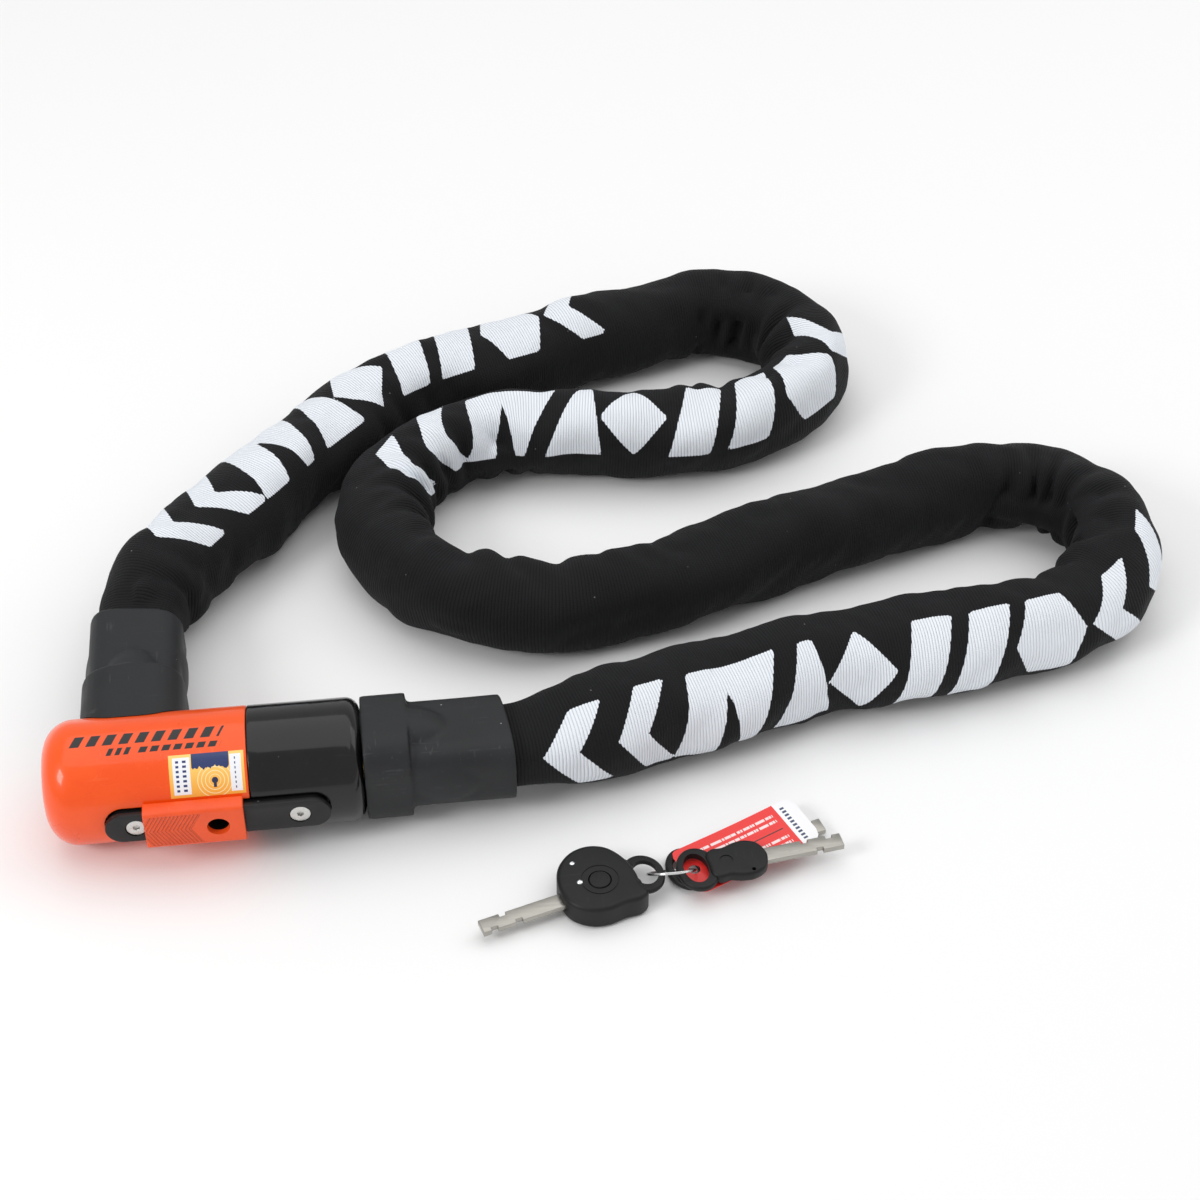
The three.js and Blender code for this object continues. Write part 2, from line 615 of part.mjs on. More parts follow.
const uprightPitch = LINK_INNER_LENGTH + WIRE; // an upright link turns on its own end wires
const tautPitch = LINK_INNER_LENGTH - WIRE; // a flat link holds two of them inside

// Where the links' pivots fall for a pitch of the flat links.
function pivotsFor(flatPitch) {
  const places = [0];
  for (let i = 0; i < LINK_COUNT; i += 1) {
    places.push(stepAlong(places[i], i % 2 === 0 ? flatPitch : uprightPitch));
  }
  return places;
}

// The flat links take up the chain's slack, so their pitch is the one that ends in the bolt eye.
function slackPitch() {
  let low = WIRE;
  let high = tautPitch;
  for (let i = 0; i < 40; i += 1) {
    const middle = (low + high) / 2;
    if (pivotsFor(middle).at(-1) < routeLength) low = middle; else high = middle;
  }
  return low;
}

// A link: a ring of wire drawn out to its length, lying flat and pointing along X.
function linkGeometry() {
  const ring = (LINK_INNER_WIDTH + WIRE) / 2;
  const stretch = LINK_INNER_LENGTH / 2 + WIRE / 2 - ring;
  const geometry = new THREE.TorusGeometry(ring, WIRE / 2, LINK_WIRE_SIDES, LINK_BOW_STEPS);
  const position = geometry.attributes.position;
  for (let i = 0; i < position.count; i += 1) {
    position.setX(i, position.getX(i) + Math.sign(position.getX(i)) * stretch);
  }
  return geometry;
}

function addChain() {
  const places = pivotsFor(slackPitch());
  const shape = geometryOf(solid(linkGeometry()));
  for (let i = 0; i < LINK_COUNT; i += 1) {
    const from = chainCurve.getPoint(places[i] / routeLength);
    const to = chainCurve.getPoint(Math.min(places[i + 1] / routeLength, 1));
    const along = to.clone().sub(from);
    const heading = new THREE.Group();
    heading.position.copy(from).add(to).multiplyScalar(0.5);
    heading.rotation.set(0, -Math.asin(along.z / along.length()), Math.atan2(along.y, along.x), 'ZYX');
    const number = String(i + 1).padStart(2, '0');
    const link = piece(heading, `chain_link_${number}`, shape, hardSteel());
    const flat = i % 2 === 0;
    const settle = i === 0 || i === LINK_COUNT - 1 ? END_SETTLE : LINK_SETTLE;
    link.rotation.x = flat ? 0 : Math.PI / 2;
    link.position.z = flat ? -settle : 0;
    lay.add(heading);
  }
}

// A length of sleeve between two distances along the curve.
function sleeveTube(from, to, steps) {
  const turn = Math.PI / SLEEVE_SIDES;
  const ringPoints = (radius) => Array.from({ length: SLEEVE_SIDES }, (_, i) => {
    const angle = turn + i * 2 * turn;
    return new THREE.Vector2(radius * Math.cos(angle), radius * Math.sin(angle));
  });
  const section = new THREE.Shape(ringPoints(SLEEVE_RADIUS));
  section.holes.push(new THREE.Path(ringPoints(SLEEVE_RADIUS - SLEEVE_WALL).reverse()));
  return new THREE.ExtrudeGeometry(section, {
    steps, bevelEnabled: false, extrudePath: new ChainCurve(from, to),
  });
}

const sleeveFrom = fixedMouth + MOUTH_GAP - fixedPost;
const sleeveTo = routeLength - (boltMouth + MOUTH_GAP - boltPost);
const sleeveSplit = sleeveTo - SLEEVE_END_LENGTH;

addChain();
piece(lay, 'chain_sleeve', geometryOf(solid(sleeveTube(sleeveFrom, sleeveSplit - GAP, SLEEVE_STEPS))),
  fabric());
piece(lay, 'sleeve_end', geometryOf(solid(sleeveTube(sleeveSplit, sleeveTo, SLEEVE_END_STEPS))),
  fabric());

// ---------------------------------------------------------------------------------------------
// keys: each is built along +X from the middle of its ring hole, its middle plane at z = 0
// ---------------------------------------------------------------------------------------------
function ellipse(length, width, x) {
  const shape = new THREE.Shape();
  shape.absellipse(x, 0, length / 2, width / 2, 0, 2 * Math.PI);
  return shape;
}

function keyLoop(reach) {
  const half = KEY_LOOP_THICK / 2;
  const disc = rodZ(KEY_LOOP, -half, half, 0, 0, 20);
  const neck = box(2, reach, -KEY_LOOP + 0.8, KEY_LOOP - 0.8, -half, half);
  return disc.add(neck);
}

const ringHole = () => rodZ(KEY_HOLE, -20, 20, 0, 0, 20);

// Room for the blade's tail in a bow, and the tail itself when slack is 0.
function bladeBar(x0, x1, slack) {
  return box(x0, x1, -KEY_BLADE_WIDTH / 2 - slack, KEY_BLADE_WIDTH / 2 + slack,
    -KEY_BLADE_THICK / 2 - slack, KEY_BLADE_THICK / 2 + slack);
}

function keyBlade(bowEnd, length) {
  const start = bowEnd - KEY_TAIL;
  const bar = bladeBar(start + GAP, length, 0);
  const notches = [0, 1, 2].map((i) => {
    const x = length - 6 - i * 5;
    const side = i % 2 === 0 ? 1 : -1;
    return box(x, x + 2.6, Math.min(side * 1.8, side * 4), Math.max(side * 1.8, side * 4), -3, 3);
  });
  return cut(bar, ...notches);
}

function plainKey(name, hole, heading, thick) {
  const key = new THREE.Group();
  key.position.set(...hole);
  key.rotation.z = THREE.MathUtils.degToRad(heading);
  lay.add(key);
  const bowEnd = BOW_OFFSET + BOW_RADIUS;
  const bow = slabZ(ellipse(2 * BOW_RADIUS, 2 * BOW_RADIUS - 1, BOW_OFFSET), -thick / 2, thick / 2, 8);
  const slot = bladeBar(bowEnd - KEY_TAIL, bowEnd + 1, GAP);
  piece(key, `${name}_bow`, cut(bow.add(keyLoop(BOW_OFFSET - 4)), ringHole(), slot), blackSatin());
  piece(key, `${name}_blade`, keyBlade(bowEnd, PLAIN_KEY_LENGTH), steel());
}

function ledKey(hole, heading) {
  const key = new THREE.Group();
  key.position.set(...hole);
  key.rotation.z = THREE.MathUtils.degToRad(heading);
  lay.add(key);
  const bowEnd = LED_OFFSET + LED_LENGTH / 2;
  const half = LED_THICK / 2;
  const layers = [[1, half - 2], [0.88, half]].map(([share, reach]) =>
    slabZ(ellipse(LED_LENGTH * share, LED_WIDTH * share, LED_OFFSET), -reach, reach, 10));
  const slot = bladeBar(bowEnd - KEY_TAIL, bowEnd + 1, GAP);
  const well = rodZ(BUTTON_RADIUS + RUN, half - 2.5, half + 1, LED_OFFSET, 0, 20);
  const shell = cut(joined([...layers, keyLoop(LED_OFFSET - LED_LENGTH / 2 + 3)]), ringHole(), slot, well);
  const button = rodZ(BUTTON_RADIUS, half - 2.5 + BUTTON_TRAVEL + GAP, half + 0.4, LED_OFFSET, 0, 20);
  piece(key, 'led_key_shell', shell, blackSatin());
  piece(key, 'led_key_button', button, blackSatin());
  piece(key, 'led_key_blade', keyBlade(bowEnd, LED_KEY_LENGTH), steel());
}

// Point of the tilted ring at a height, on its left or right side.
const RING_TILT = Math.PI / 4;
function ringPoint(height, side) {
  const [cx, cy, cz] = RING_CENTRE;
  const y = (cz - height) / Math.tan(RING_TILT);
  const inPlane = y / Math.cos(RING_TILT);
  return [cx + side * Math.sqrt(RING_RADIUS ** 2 - inPlane ** 2), cy + y, height];
}

const lowKeyHeight = BOW_THICK / 2 + 0.05;
const tagHeight = BOW_THICK + 0.6;
const topKeyHeight = tagHeight + TAG_THICK + GAP + BOW_THICK / 2;

function tag() {
  const holder = new THREE.Group();
  holder.position.set(...ringPoint(tagHeight + TAG_THICK / 2, 1));
  holder.rotation.z = THREE.MathUtils.degToRad(24);
  lay.add(holder);
  const card = box(-4, TAG_LENGTH - 4, -TAG_WIDTH / 2, TAG_WIDTH / 2, -TAG_THICK / 2, TAG_THICK / 2);
  piece(holder, 'key_tag', cut(card, rodZ(TAG_HOLE, -1, 1, 0, 0, 16)), material(0xd8261c, 0.5, 0));
}

function keyRing() {
  const ring = new THREE.TorusGeometry(RING_RADIUS, RING_WIRE, 8, 28);
  ring.rotateX(-RING_TILT);
  const mesh = piece(lay, 'key_ring', geometryOf(solid(ring)), steel());
  mesh.position.set(...RING_CENTRE);
}

keyRing();
tag();
const [ledX, ledY, ledZ] = ringPoint(LED_THICK / 2 + 0.05, -1);
ledKey([ledX - RING_PULL, ledY, ledZ], 197);
plainKey('near_key', ringPoint(topKeyHeight, 1), 8, BOW_THICK);
plainKey('far_key', ringPoint(lowKeyHeight, 1), 16, BOW_THICK);

// ---------------------------------------------------------------------------------------------
// origin: the middle of the whole lay, on the floor
// ---------------------------------------------------------------------------------------------
lay.updateMatrixWorld(true);
const extent = new THREE.Box3().setFromObject(lay, true);
lay.position.set(-(extent.min.x + extent.max.x) / 2, -(extent.min.y + extent.max.y) / 2, -extent.min.z);

const chainLock = new THREE.Group();
chainLock.add(lay);

export default chainLock;
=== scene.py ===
"""Looks of a chain lock: a barrel lock, its rubber boots, a fabric sleeve over a chain, and keys on a ring."""
import bisect
import json
import math

import bmesh
import bpy
import numpy
from mathutils import Matrix, Vector, noise
from mathutils.bvhtree import BVHTree


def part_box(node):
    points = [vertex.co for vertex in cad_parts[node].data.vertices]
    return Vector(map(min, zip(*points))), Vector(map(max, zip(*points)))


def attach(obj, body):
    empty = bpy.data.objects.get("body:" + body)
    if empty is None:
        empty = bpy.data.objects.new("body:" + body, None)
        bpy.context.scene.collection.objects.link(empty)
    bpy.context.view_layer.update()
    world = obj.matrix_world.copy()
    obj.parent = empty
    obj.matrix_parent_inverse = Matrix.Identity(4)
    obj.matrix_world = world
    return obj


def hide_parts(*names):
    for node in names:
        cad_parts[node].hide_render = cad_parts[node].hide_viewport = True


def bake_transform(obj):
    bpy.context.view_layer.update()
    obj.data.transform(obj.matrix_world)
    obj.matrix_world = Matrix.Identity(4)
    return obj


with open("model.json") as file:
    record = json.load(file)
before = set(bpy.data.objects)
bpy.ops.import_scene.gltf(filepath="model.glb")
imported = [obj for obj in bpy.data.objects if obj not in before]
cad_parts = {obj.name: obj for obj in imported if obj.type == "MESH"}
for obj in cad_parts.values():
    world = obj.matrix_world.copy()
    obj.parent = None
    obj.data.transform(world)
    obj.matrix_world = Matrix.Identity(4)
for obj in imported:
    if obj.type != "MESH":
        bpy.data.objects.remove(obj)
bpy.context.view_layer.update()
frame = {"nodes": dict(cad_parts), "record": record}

MM = 0.001

# ---------------------------------------------------------------------------------------------
# places, all worked out from the frame
# ---------------------------------------------------------------------------------------------
orange_low, orange_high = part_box("orange_cover")
BARREL_LEFT = orange_low.x
AXIS_Y = (orange_low.y + orange_high.y) / 2
AXIS_Z = (orange_low.z + orange_high.z) / 2
BARREL_RADIUS = (orange_high.z - orange_low.z) / 2


def lay(x, y, z=0.0):
    """A point given in millimetres from the barrel's left end, its axis and the floor."""
    return Vector((BARREL_LEFT + x * MM, AXIS_Y + y * MM, z * MM))


# ---------------------------------------------------------------------------------------------
# camera and the chain's route
# ---------------------------------------------------------------------------------------------
def add_camera():
    eye = lay(138, -661.9, 698.3)
    aim = lay(227, 86.2, 20)
    data = bpy.data.cameras.new("camera")
    data.lens = 71.5
    data.sensor_width = 36
    camera = bpy.data.objects.new("camera", data)
    camera.location = eye
    camera.rotation_euler = (aim - eye).to_track_quat("-Z", "Y").to_euler()
    bpy.context.scene.collection.objects.link(camera)
    bpy.context.scene.camera = camera


add_camera()

# Centre line of the sleeve from the fixed boot's mouth to the bolt boot's mouth, in millimetres.
ROUTE = (
    (33.5, 84), (37, 104), (51, 130), (71, 156), (92, 181), (113, 205), (135, 227), (160, 243),
    (190, 255), (220, 265), (250, 275), (279, 284), (306, 288), (329, 279), (343, 258), (343, 232),
    (330, 210), (306, 199), (279, 196), (250, 198), (222, 202), (198, 204), (176, 199), (157, 186),
    (143, 168), (138, 147), (142, 125), (154, 106), (172, 93), (195, 86), (219, 84), (245, 89),
    (271, 98), (299, 109), (327, 119), (356, 128), (384, 136), (410, 141), (434, 136), (450, 119),
    (454, 97), (447, 75), (429, 58), (404, 48), (375, 43), (343, 40), (312, 35), (283, 28),
    (255, 20), (229, 12), (206, 4.5),
)
FIXED_POST = (33.5, 58.5)
BOLT_POST = (168.3, 0.0)
BOLT_MOUTH = (182.1, 0.3)
HEIGHT_EASE = 0.16
SLEEVE_HEIGHT = 0.0211


def catmull_rom(points, steps=12):
    """Points along a centripetal Catmull-Rom curve through the given ones."""
    ends = [2 * points[0] - points[1]] + list(points) + [2 * points[-1] - points[-2]]
    line = []
    for a, b, c, d in zip(ends, ends[1:], ends[2:], ends[3:]):
        t1 = (b - a).length ** 0.5
        t2 = t1 + (c - b).length ** 0.5
        t3 = t2 + (d - c).length ** 0.5
        for step in range(steps):
            t = t1 + (t2 - t1) * step / steps
            ab = a.lerp(b, t / t1)
            bc = b.lerp(c, (t - t1) / (t2 - t1))
            cd = c.lerp(d, (t - t2) / (t3 - t2))
            line.append(ab.lerp(bc, t / t2).lerp(bc.lerp(cd, (t - t1) / (t3 - t1)), (t - t1) / (t2 - t1)))
    return line + [points[-1].copy()]


class Line:
    """A smooth line that can be asked for its point and direction at a distance along it."""

    def __init__(self, points):
        self.points = points
        self.at = [0.0]
        for a, b in zip(points, points[1:]):
            self.at.append(self.at[-1] + (b - a).length)
        self.length = self.at[-1]

    def point(self, along):
        along = min(max(along, 0.0), self.length)
        i = min(max(bisect.bisect_right(self.at, along) - 1, 0), len(self.points) - 2)
        share = (along - self.at[i]) / (self.at[i + 1] - self.at[i])
        return self.points[i].lerp(self.points[i + 1], share)

    def direction(self, along, reach=0.004):
        return (self.point(along + reach) - self.point(along - reach)).normalized()

    def nearest(self, place):
        return min(zip(self.points, self.at), key=lambda pair: (pair[0] - place).length)[1]


def chain_line():
    flat = [lay(*place) for place in (FIXED_POST, *ROUTE, BOLT_MOUTH, BOLT_POST)]
    line = Line(catmull_rom(flat))
    raised = []
    for point, along in zip(line.points, line.at):
        share = min(min(along, line.length - along) / HEIGHT_EASE, 1.0)
        ease = share * share * (3 - 2 * share)
        raised.append(Vector((point.x, point.y, AXIS_Z + (SLEEVE_HEIGHT - AXIS_Z) * ease)))
    return Line(raised)


CHAIN = chain_line()


# ---------------------------------------------------------------------------------------------
# making pieces
# ---------------------------------------------------------------------------------------------
def put_piece(name, shape, material, body, replaced=(), sharp=None):
    """Make a mesh object from a bmesh, shade it and fasten it to a body of the frame."""
    for face in shape.faces:
        face.smooth = True
    mesh = bpy.data.meshes.new(name)
    shape.to_mesh(mesh)
    shape.free()
    if sharp:
        mesh.set_sharp_from_angle(angle=math.radians(sharp))
    piece = bpy.data.objects.new(name, mesh)
    bpy.context.scene.collection.objects.link(piece)
    mesh.materials.append(material)
    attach(piece, body)
    if replaced:
        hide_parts(*replaced)
    return piece


def copy_of_node(name):
    """The CAD node's shape with its doubles merged and its flat triangles joined to whole faces."""
    shape = bmesh.new()
    shape.from_mesh(frame["nodes"][name].data)
    bmesh.ops.remove_doubles(shape, verts=shape.verts, dist=0.00002)
    bmesh.ops.dissolve_limit(shape, angle_limit=math.radians(1.0), verts=shape.verts, edges=shape.edges)
    return shape


def round_edges(shape, width, segments=3, over=30.0, only=None):
    """Bevel the edges that turn by more than an angle, in degrees."""
    edges = [e for e in shape.edges
             if len(e.link_faces) == 2 and e.calc_face_angle(0) > math.radians(over) and (only is None or only(e))]
    bmesh.ops.bevel(shape, geom=edges, offset=width, offset_type="OFFSET", affect="EDGES",
                    segments=segments, profile=0.5, material=-1, clamp_overlap=True)


def cut_with(piece, cutters):
    """Subtract other meshes from a piece and throw the cutters away."""
    for cutter in cutters:
        change = piece.modifiers.new("cut", "BOOLEAN")
        change.operation = "DIFFERENCE"
        change.solver = "EXACT"
        change.object = cutter
    apply_modifiers(piece)
    for cutter in cutters:
        bpy.data.objects.remove(cutter)


def apply_modifiers(piece):
    graph = bpy.context.evaluated_depsgraph_get()
    done = bpy.data.meshes.new_from_object(piece.evaluated_get(graph), depsgraph=graph)
    done.name = piece.name
    piece.modifiers.clear()
    old = piece.data
    piece.data = done
    bpy.data.meshes.remove(old)


def loose_object(name, shape):
    mesh = bpy.data.meshes.new(name)
    shape.to_mesh(mesh)
    shape.free()
    piece = bpy.data.objects.new(name, mesh)
    bpy.context.scene.collection.objects.link(piece)
    return piece


def box_shape(low, high):
    shape = bmesh.new()
    bmesh.ops.create_cube(shape, size=1.0)
    low, high = Vector(low), Vector(high)
    bmesh.ops.scale(shape, vec=high - low, verts=shape.verts)
    bmesh.ops.translate(shape, vec=(low + high) / 2, verts=shape.verts)
    return shape


def spun(profile, steps):
    """A closed solid turned about the barrel's axis from (x, radius) points in millimetres."""
    shape = bmesh.new()
    verts = [shape.verts.new(lay(x, 0, AXIS_Z / MM + radius)) for x, radius in profile]
    edges = [shape.edges.new(pair) for pair in zip(verts, verts[1:])]
    bmesh.ops.spin(shape, geom=verts + edges, cent=lay(0, 0, AXIS_Z / MM), axis=(1, 0, 0),
                   angle=math.tau, steps=steps, use_merge=True)
    bmesh.ops.remove_doubles(shape, verts=shape.verts, dist=0.000002)
    bmesh.ops.recalc_face_normals(shape, faces=shape.faces)
    return shape


def corner(x, radius, size, start, end, steps):
    """Points of a quarter round for a turned profile; angles in degrees."""
    return [(x + size * math.cos(math.radians(start + (end - start) * i / steps)),
             radius + size * math.sin(math.radians(start + (end - start) * i / steps)))
            for i in range(steps + 1)]


# ---------------------------------------------------------------------------------------------
# materials: shared groups
# ---------------------------------------------------------------------------------------------
class Wires:
    """Short names for making and joining shader nodes in one tree."""

    def __init__(self, tree):
        self.nodes = tree.nodes
        self.links = tree.links

    def node(self, kind, **values):
        made = self.nodes.new(kind)
        for key, value in values.items():
            setattr(made, key, value)
        return made

    def feed(self, socket, value):
        if isinstance(value, bpy.types.NodeSocket):
            self.links.new(value, socket)
        else:
            socket.default_value = value

    def math(self, operation, a, b=0.0, c=0.0, clamp=False):
        made = self.node("ShaderNodeMath", operation=operation, use_clamp=clamp)
        for socket, value in zip(made.inputs, (a, b, c)):
            self.feed(socket, value)
        return made.outputs[0]

    def between(self, value, low, high, soft):
        """1 where value lies between low and high, with soft edges."""
        rise = self.ramp(value, low - soft, low + soft)
        fall = self.ramp(value, high - soft, high + soft)
        return self.math("SUBTRACT", rise, fall, clamp=True)

    def ramp(self, value, low, high, to_low=0.0, to_high=1.0):
        made = self.node("ShaderNodeMapRange", interpolation_type="SMOOTHSTEP", clamp=True)
        for socket, given in zip(made.inputs, (value, low, high, to_low, to_high)):
            self.feed(socket, given)
        return made.outputs["Result"]

    def mix(self, share, a, b):
        made = self.node("ShaderNodeMix", data_type="RGBA")
        self.feed(made.inputs["Factor"], share)
        self.feed(made.inputs["A"], a)
        self.feed(made.inputs["B"], b)
        return made.outputs["Result"]

    def split(self, vector):
        made = self.node("ShaderNodeSeparateXYZ")
        self.feed(made.inputs[0], vector)
        return made.outputs

    def noise(self, vector, scale, detail=3.0, roughness=0.55):
        made = self.node("ShaderNodeTexNoise")
        self.feed(made.inputs["Vector"], vector)
        self.feed(made.inputs["Scale"], scale)
        self.feed(made.inputs["Detail"], detail)
        self.feed(made.inputs["Roughness"], roughness)
        return made.outputs["Fac"]

    def stretch(self, vector, scale):
        made = self.node("ShaderNodeMapping")
        self.feed(made.inputs["Vector"], vector)
        made.inputs["Scale"].default_value = scale
        return made.outputs[0]

    def place(self):
        return self.node("ShaderNodeTexCoord").outputs["Object"]

    def bump(self, height, strength, distance, normal=None):
        made = self.node("ShaderNodeBump")
        self.feed(made.inputs["Height"], height)
        made.inputs["Strength"].default_value = strength
        made.inputs["Distance"].default_value = distance
        if normal is not None:
            self.feed(made.inputs["Normal"], normal)
        return made.outputs[0]

    def use(self, group, **values):
        made = self.node("ShaderNodeGroup")
        made.node_tree = group
        for key, value in values.items():
            self.feed(made.inputs[key], value)
        return made.outputs


def new_group(name, takes, gives):
    """An empty group with named inputs (kind, default) and outputs (kind)."""
    group = bpy.data.node_groups.new(name, "ShaderNodeTree")
    for label, (kind, default) in takes.items():
        socket = group.interface.new_socket(label, in_out="INPUT", socket_type=kind)
        if default is not None:
            socket.default_value = default
    for label, kind in gives.items():
        group.interface.new_socket(label, in_out="OUTPUT", socket_type=kind)
    return group, group.nodes.new("NodeGroupInput"), group.nodes.new("NodeGroupOutput")


def make_grain():
    """Fine moulded or cast grain: a height and a slow blotch for roughness and colour."""
    group, takes, gives = new_group(
        "grain",
        {"Vector": ("NodeSocketVector", None), "Size": ("NodeSocketFloat", 1.0)},
        {"Height": "NodeSocketFloat", "Blotch": "NodeSocketFloat"})
    w = Wires(group)
    per_metre = w.math("DIVIDE", 1000.0, takes.outputs["Size"])
    fine = w.noise(takes.outputs["Vector"], per_metre, 2.0, 0.6)
    w.feed(gives.inputs["Height"], fine)
    slow = w.noise(takes.outputs["Vector"], w.math("MULTIPLY", per_metre, 0.035), 4.0, 0.6)
    w.feed(gives.inputs["Blotch"], w.ramp(slow, 0.35, 0.65))
    return group


def make_scuffs():
    """Fine crossed scratches and rubbed patches, 0 to 1."""
    group, takes, gives = new_group(
        "scuffs",
        {"Vector": ("NodeSocketVector", None), "Amount": ("NodeSocketFloat", 0.5)},
        {"Mask": "NodeSocketFloat"})
    w = Wires(group)
    total = None
    for stretch_by in ((30, 900, 400), (700, 60, 500)):
        lines = w.noise(w.stretch(takes.outputs["Vector"], stretch_by), 1.0, 2.0, 0.5)
        mark = w.ramp(lines, 0.62, 0.72)
        total = mark if total is None else w.math("MAXIMUM", total, mark)
    patches = w.ramp(w.noise(takes.outputs["Vector"], 90.0, 3.0, 0.6), 0.45, 0.7)
    w.feed(gives.inputs["Mask"], w.math("MULTIPLY", w.math("MULTIPLY", total, patches), takes.outputs["Amount"]))
    return group


def make_dust():
    """Sparse specks of lint and dust, 0 to 1."""
    group, takes, gives = new_group(
        "dust",
        {"Vector": ("NodeSocketVector", None), "Amount": ("NodeSocketFloat", 0.5)},
        {"Mask": "NodeSocketFloat"})
    w = Wires(group)
    cells = w.node("ShaderNodeTexVoronoi", feature="F1")
    w.feed(cells.inputs["Vector"], takes.outputs["Vector"])
    cells.inputs["Scale"].default_value = 220.0
    near = w.ramp(cells.outputs["Distance"], 0.05, 0.09, 1.0, 0.0)
    some = w.math("GREATER_THAN", w.split(cells.outputs["Color"])[0], 0.93)
    w.feed(gives.inputs["Mask"], w.math("MULTIPLY", w.math("MULTIPLY", near, some), takes.outputs["Amount"]))
    return group


GRAIN = make_grain()
SCUFFS = make_scuffs()
DUST = make_dust()


def new_material(name, colour, roughness, metallic=0.0, **sockets):
    material = bpy.data.materials.new(name)
    material.use_nodes = True
    shader = material.node_tree.nodes["Principled BSDF"]
    shader.inputs["Base Color"].default_value = (*colour, 1)
    shader.inputs["Roughness"].default_value = roughness
    shader.inputs["Metallic"].default_value = metallic
    for label, value in sockets.items():
        shader.inputs[label.replace("_", " ")].default_value = value
    return material, shader, Wires(material.node_tree)


def moulded(name, colour, roughness, grain_size, grain_depth, blotch=0.06, scuffs=0.3, dust=0.3,
            scuff_colour=None, **sockets):
    """Moulded plastic or rubber with grain, slight blotches, scuffs and a little dust."""
    material, shader, w = new_material(name, colour, roughness, **sockets)
    place = w.place()
    grain = w.use(GRAIN, Vector=place, Size=grain_size)
    rubbed = w.use(SCUFFS, Vector=place, Amount=scuffs)["Mask"]
    specks = w.use(DUST, Vector=place, Amount=dust)["Mask"]
    darker = tuple(c * (1 - blotch) for c in colour)
    lighter = tuple(min(c * (1 + blotch) + blotch * 0.01, 1) for c in colour)
    tone = w.mix(grain["Blotch"], (*darker, 1), (*lighter, 1))
    scuff_colour = scuff_colour or tuple(min(c * 1.8 + 0.02, 1) for c in colour)
    tone = w.mix(rubbed, tone, (*scuff_colour, 1))
    tone = w.mix(specks, tone, (0.6, 0.6, 0.6, 1))
    w.feed(shader.inputs["Base Color"], tone)
    rough = w.ramp(grain["Blotch"], 0.0, 1.0, roughness - 0.04, roughness + 0.05)
    w.feed(shader.inputs["Roughness"], w.math("ADD", rough, w.math("MULTIPLY", rubbed, 0.2)))
    w.feed(shader.inputs["Normal"], w.bump(grain["Height"], 0.6, grain_depth))
    return material


def metal(name, colour, roughness, stretch_by, tarnish=0.2, scuffs=0.5, **sockets):
    """Drawn, turned or milled metal: fine lines in one direction, faint tarnish and scratches."""
    material, shader, w = new_material(name, colour, roughness, 1.0, **sockets)
    place = w.place()
    grain = w.use(GRAIN, Vector=place, Size=1.5)
    lines = w.noise(w.stretch(place, stretch_by), 1.0, 2.0, 0.5)
    rubbed = w.use(SCUFFS, Vector=place, Amount=scuffs)["Mask"]
    dull = tuple(c * (1 - tarnish) for c in colour)
    tone = w.mix(w.math("MULTIPLY", grain["Blotch"], lines), (*colour, 1), (*dull, 1))
    w.feed(shader.inputs["Base Color"], tone)
    rough = w.ramp(lines, 0.3, 0.7, roughness - 0.07, roughness + 0.08)
    w.feed(shader.inputs["Roughness"], w.math("ADD", rough, w.math("MULTIPLY", rubbed, 0.15)))
    w.feed(shader.inputs["Normal"], w.bump(w.math("ADD", lines, rubbed), 0.25, 0.00004))
    return material


# ---------------------------------------------------------------------------------------------
# fabric sleeve
# ---------------------------------------------------------------------------------------------
LINK_NAMES = [f"chain_link_{number:02d}" for number in range(1, 34)]
SLEEVE_RADIUS = 0.0203
SLEEVE_WALL = 0.001
SLEEVE_SIDES = 64
SLEEVE_STEP = 0.0015
IN_BOOT = 0.008
FIXED_MOUTH_AT = CHAIN.nearest(lay(33.5, 83.5, 24.5))
BOLT_MOUTH_AT = CHAIN.nearest(lay(182.1, 0.3, 24.5))
SLEEVE_START = FIXED_MOUTH_AT - IN_BOOT
SLEEVE_END = BOLT_MOUTH_AT + IN_BOOT
SLEEVE_CUT = BOLT_MOUTH_AT - 0.0835


def middle_of(name):
    low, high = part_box(name)
    return (low + high) / 2


LINK_AT = [CHAIN.nearest(middle_of(name)) for name in LINK_NAMES]


def chain_tree():
    """One search tree over all the links."""
    shape = bmesh.new()
    for name in LINK_NAMES:
        shape.from_mesh(frame["nodes"][name].data)
    tree = BVHTree.FromBMesh(shape)
    shape.free()
    return tree


def blurred(field, along, around):
    """A map over distance and angle, smoothed by that many steps; the angle wraps round."""
    for _ in range(along):
        padded = numpy.vstack([field[:1], field, field[-1:]])
        field = (padded[:-2] + 2 * padded[1:-1] + padded[2:]) / 4
    for _ in range(around):
        field = (numpy.roll(field, 1, 1) + 2 * field + numpy.roll(field, -1, 1)) / 4
    return field


def spread(field, along, around):
    """Each place takes the largest value near it."""
    for _ in range(along):
        padded = numpy.vstack([field[:1], field, field[-1:]])
        field = numpy.maximum(numpy.maximum(padded[:-2], padded[2:]), field)
    for _ in range(around):
        field = numpy.maximum(numpy.maximum(numpy.roll(field, 1, 1), numpy.roll(field, -1, 1)), field)
    return field


def wavy(at, angle, length, turn, seed):
    """Smooth noise over distance and angle that meets itself round the tube; about -1 to 1."""
    return noise.noise(Vector((at / length, turn * math.sin(angle) + seed, turn * math.cos(angle) - seed)))


JOINTS = {joint["name"]: joint for joint in frame["record"]["behaviour"]["joints"]}
MOUTH_HALF_WIDTH, MOUTH_HALF_HEIGHT = 0.0167, 0.0121    # the sleeve where it enters a boot
BOLT_TRAVEL = JOINTS["bolt_slide"]["range_m"][1]


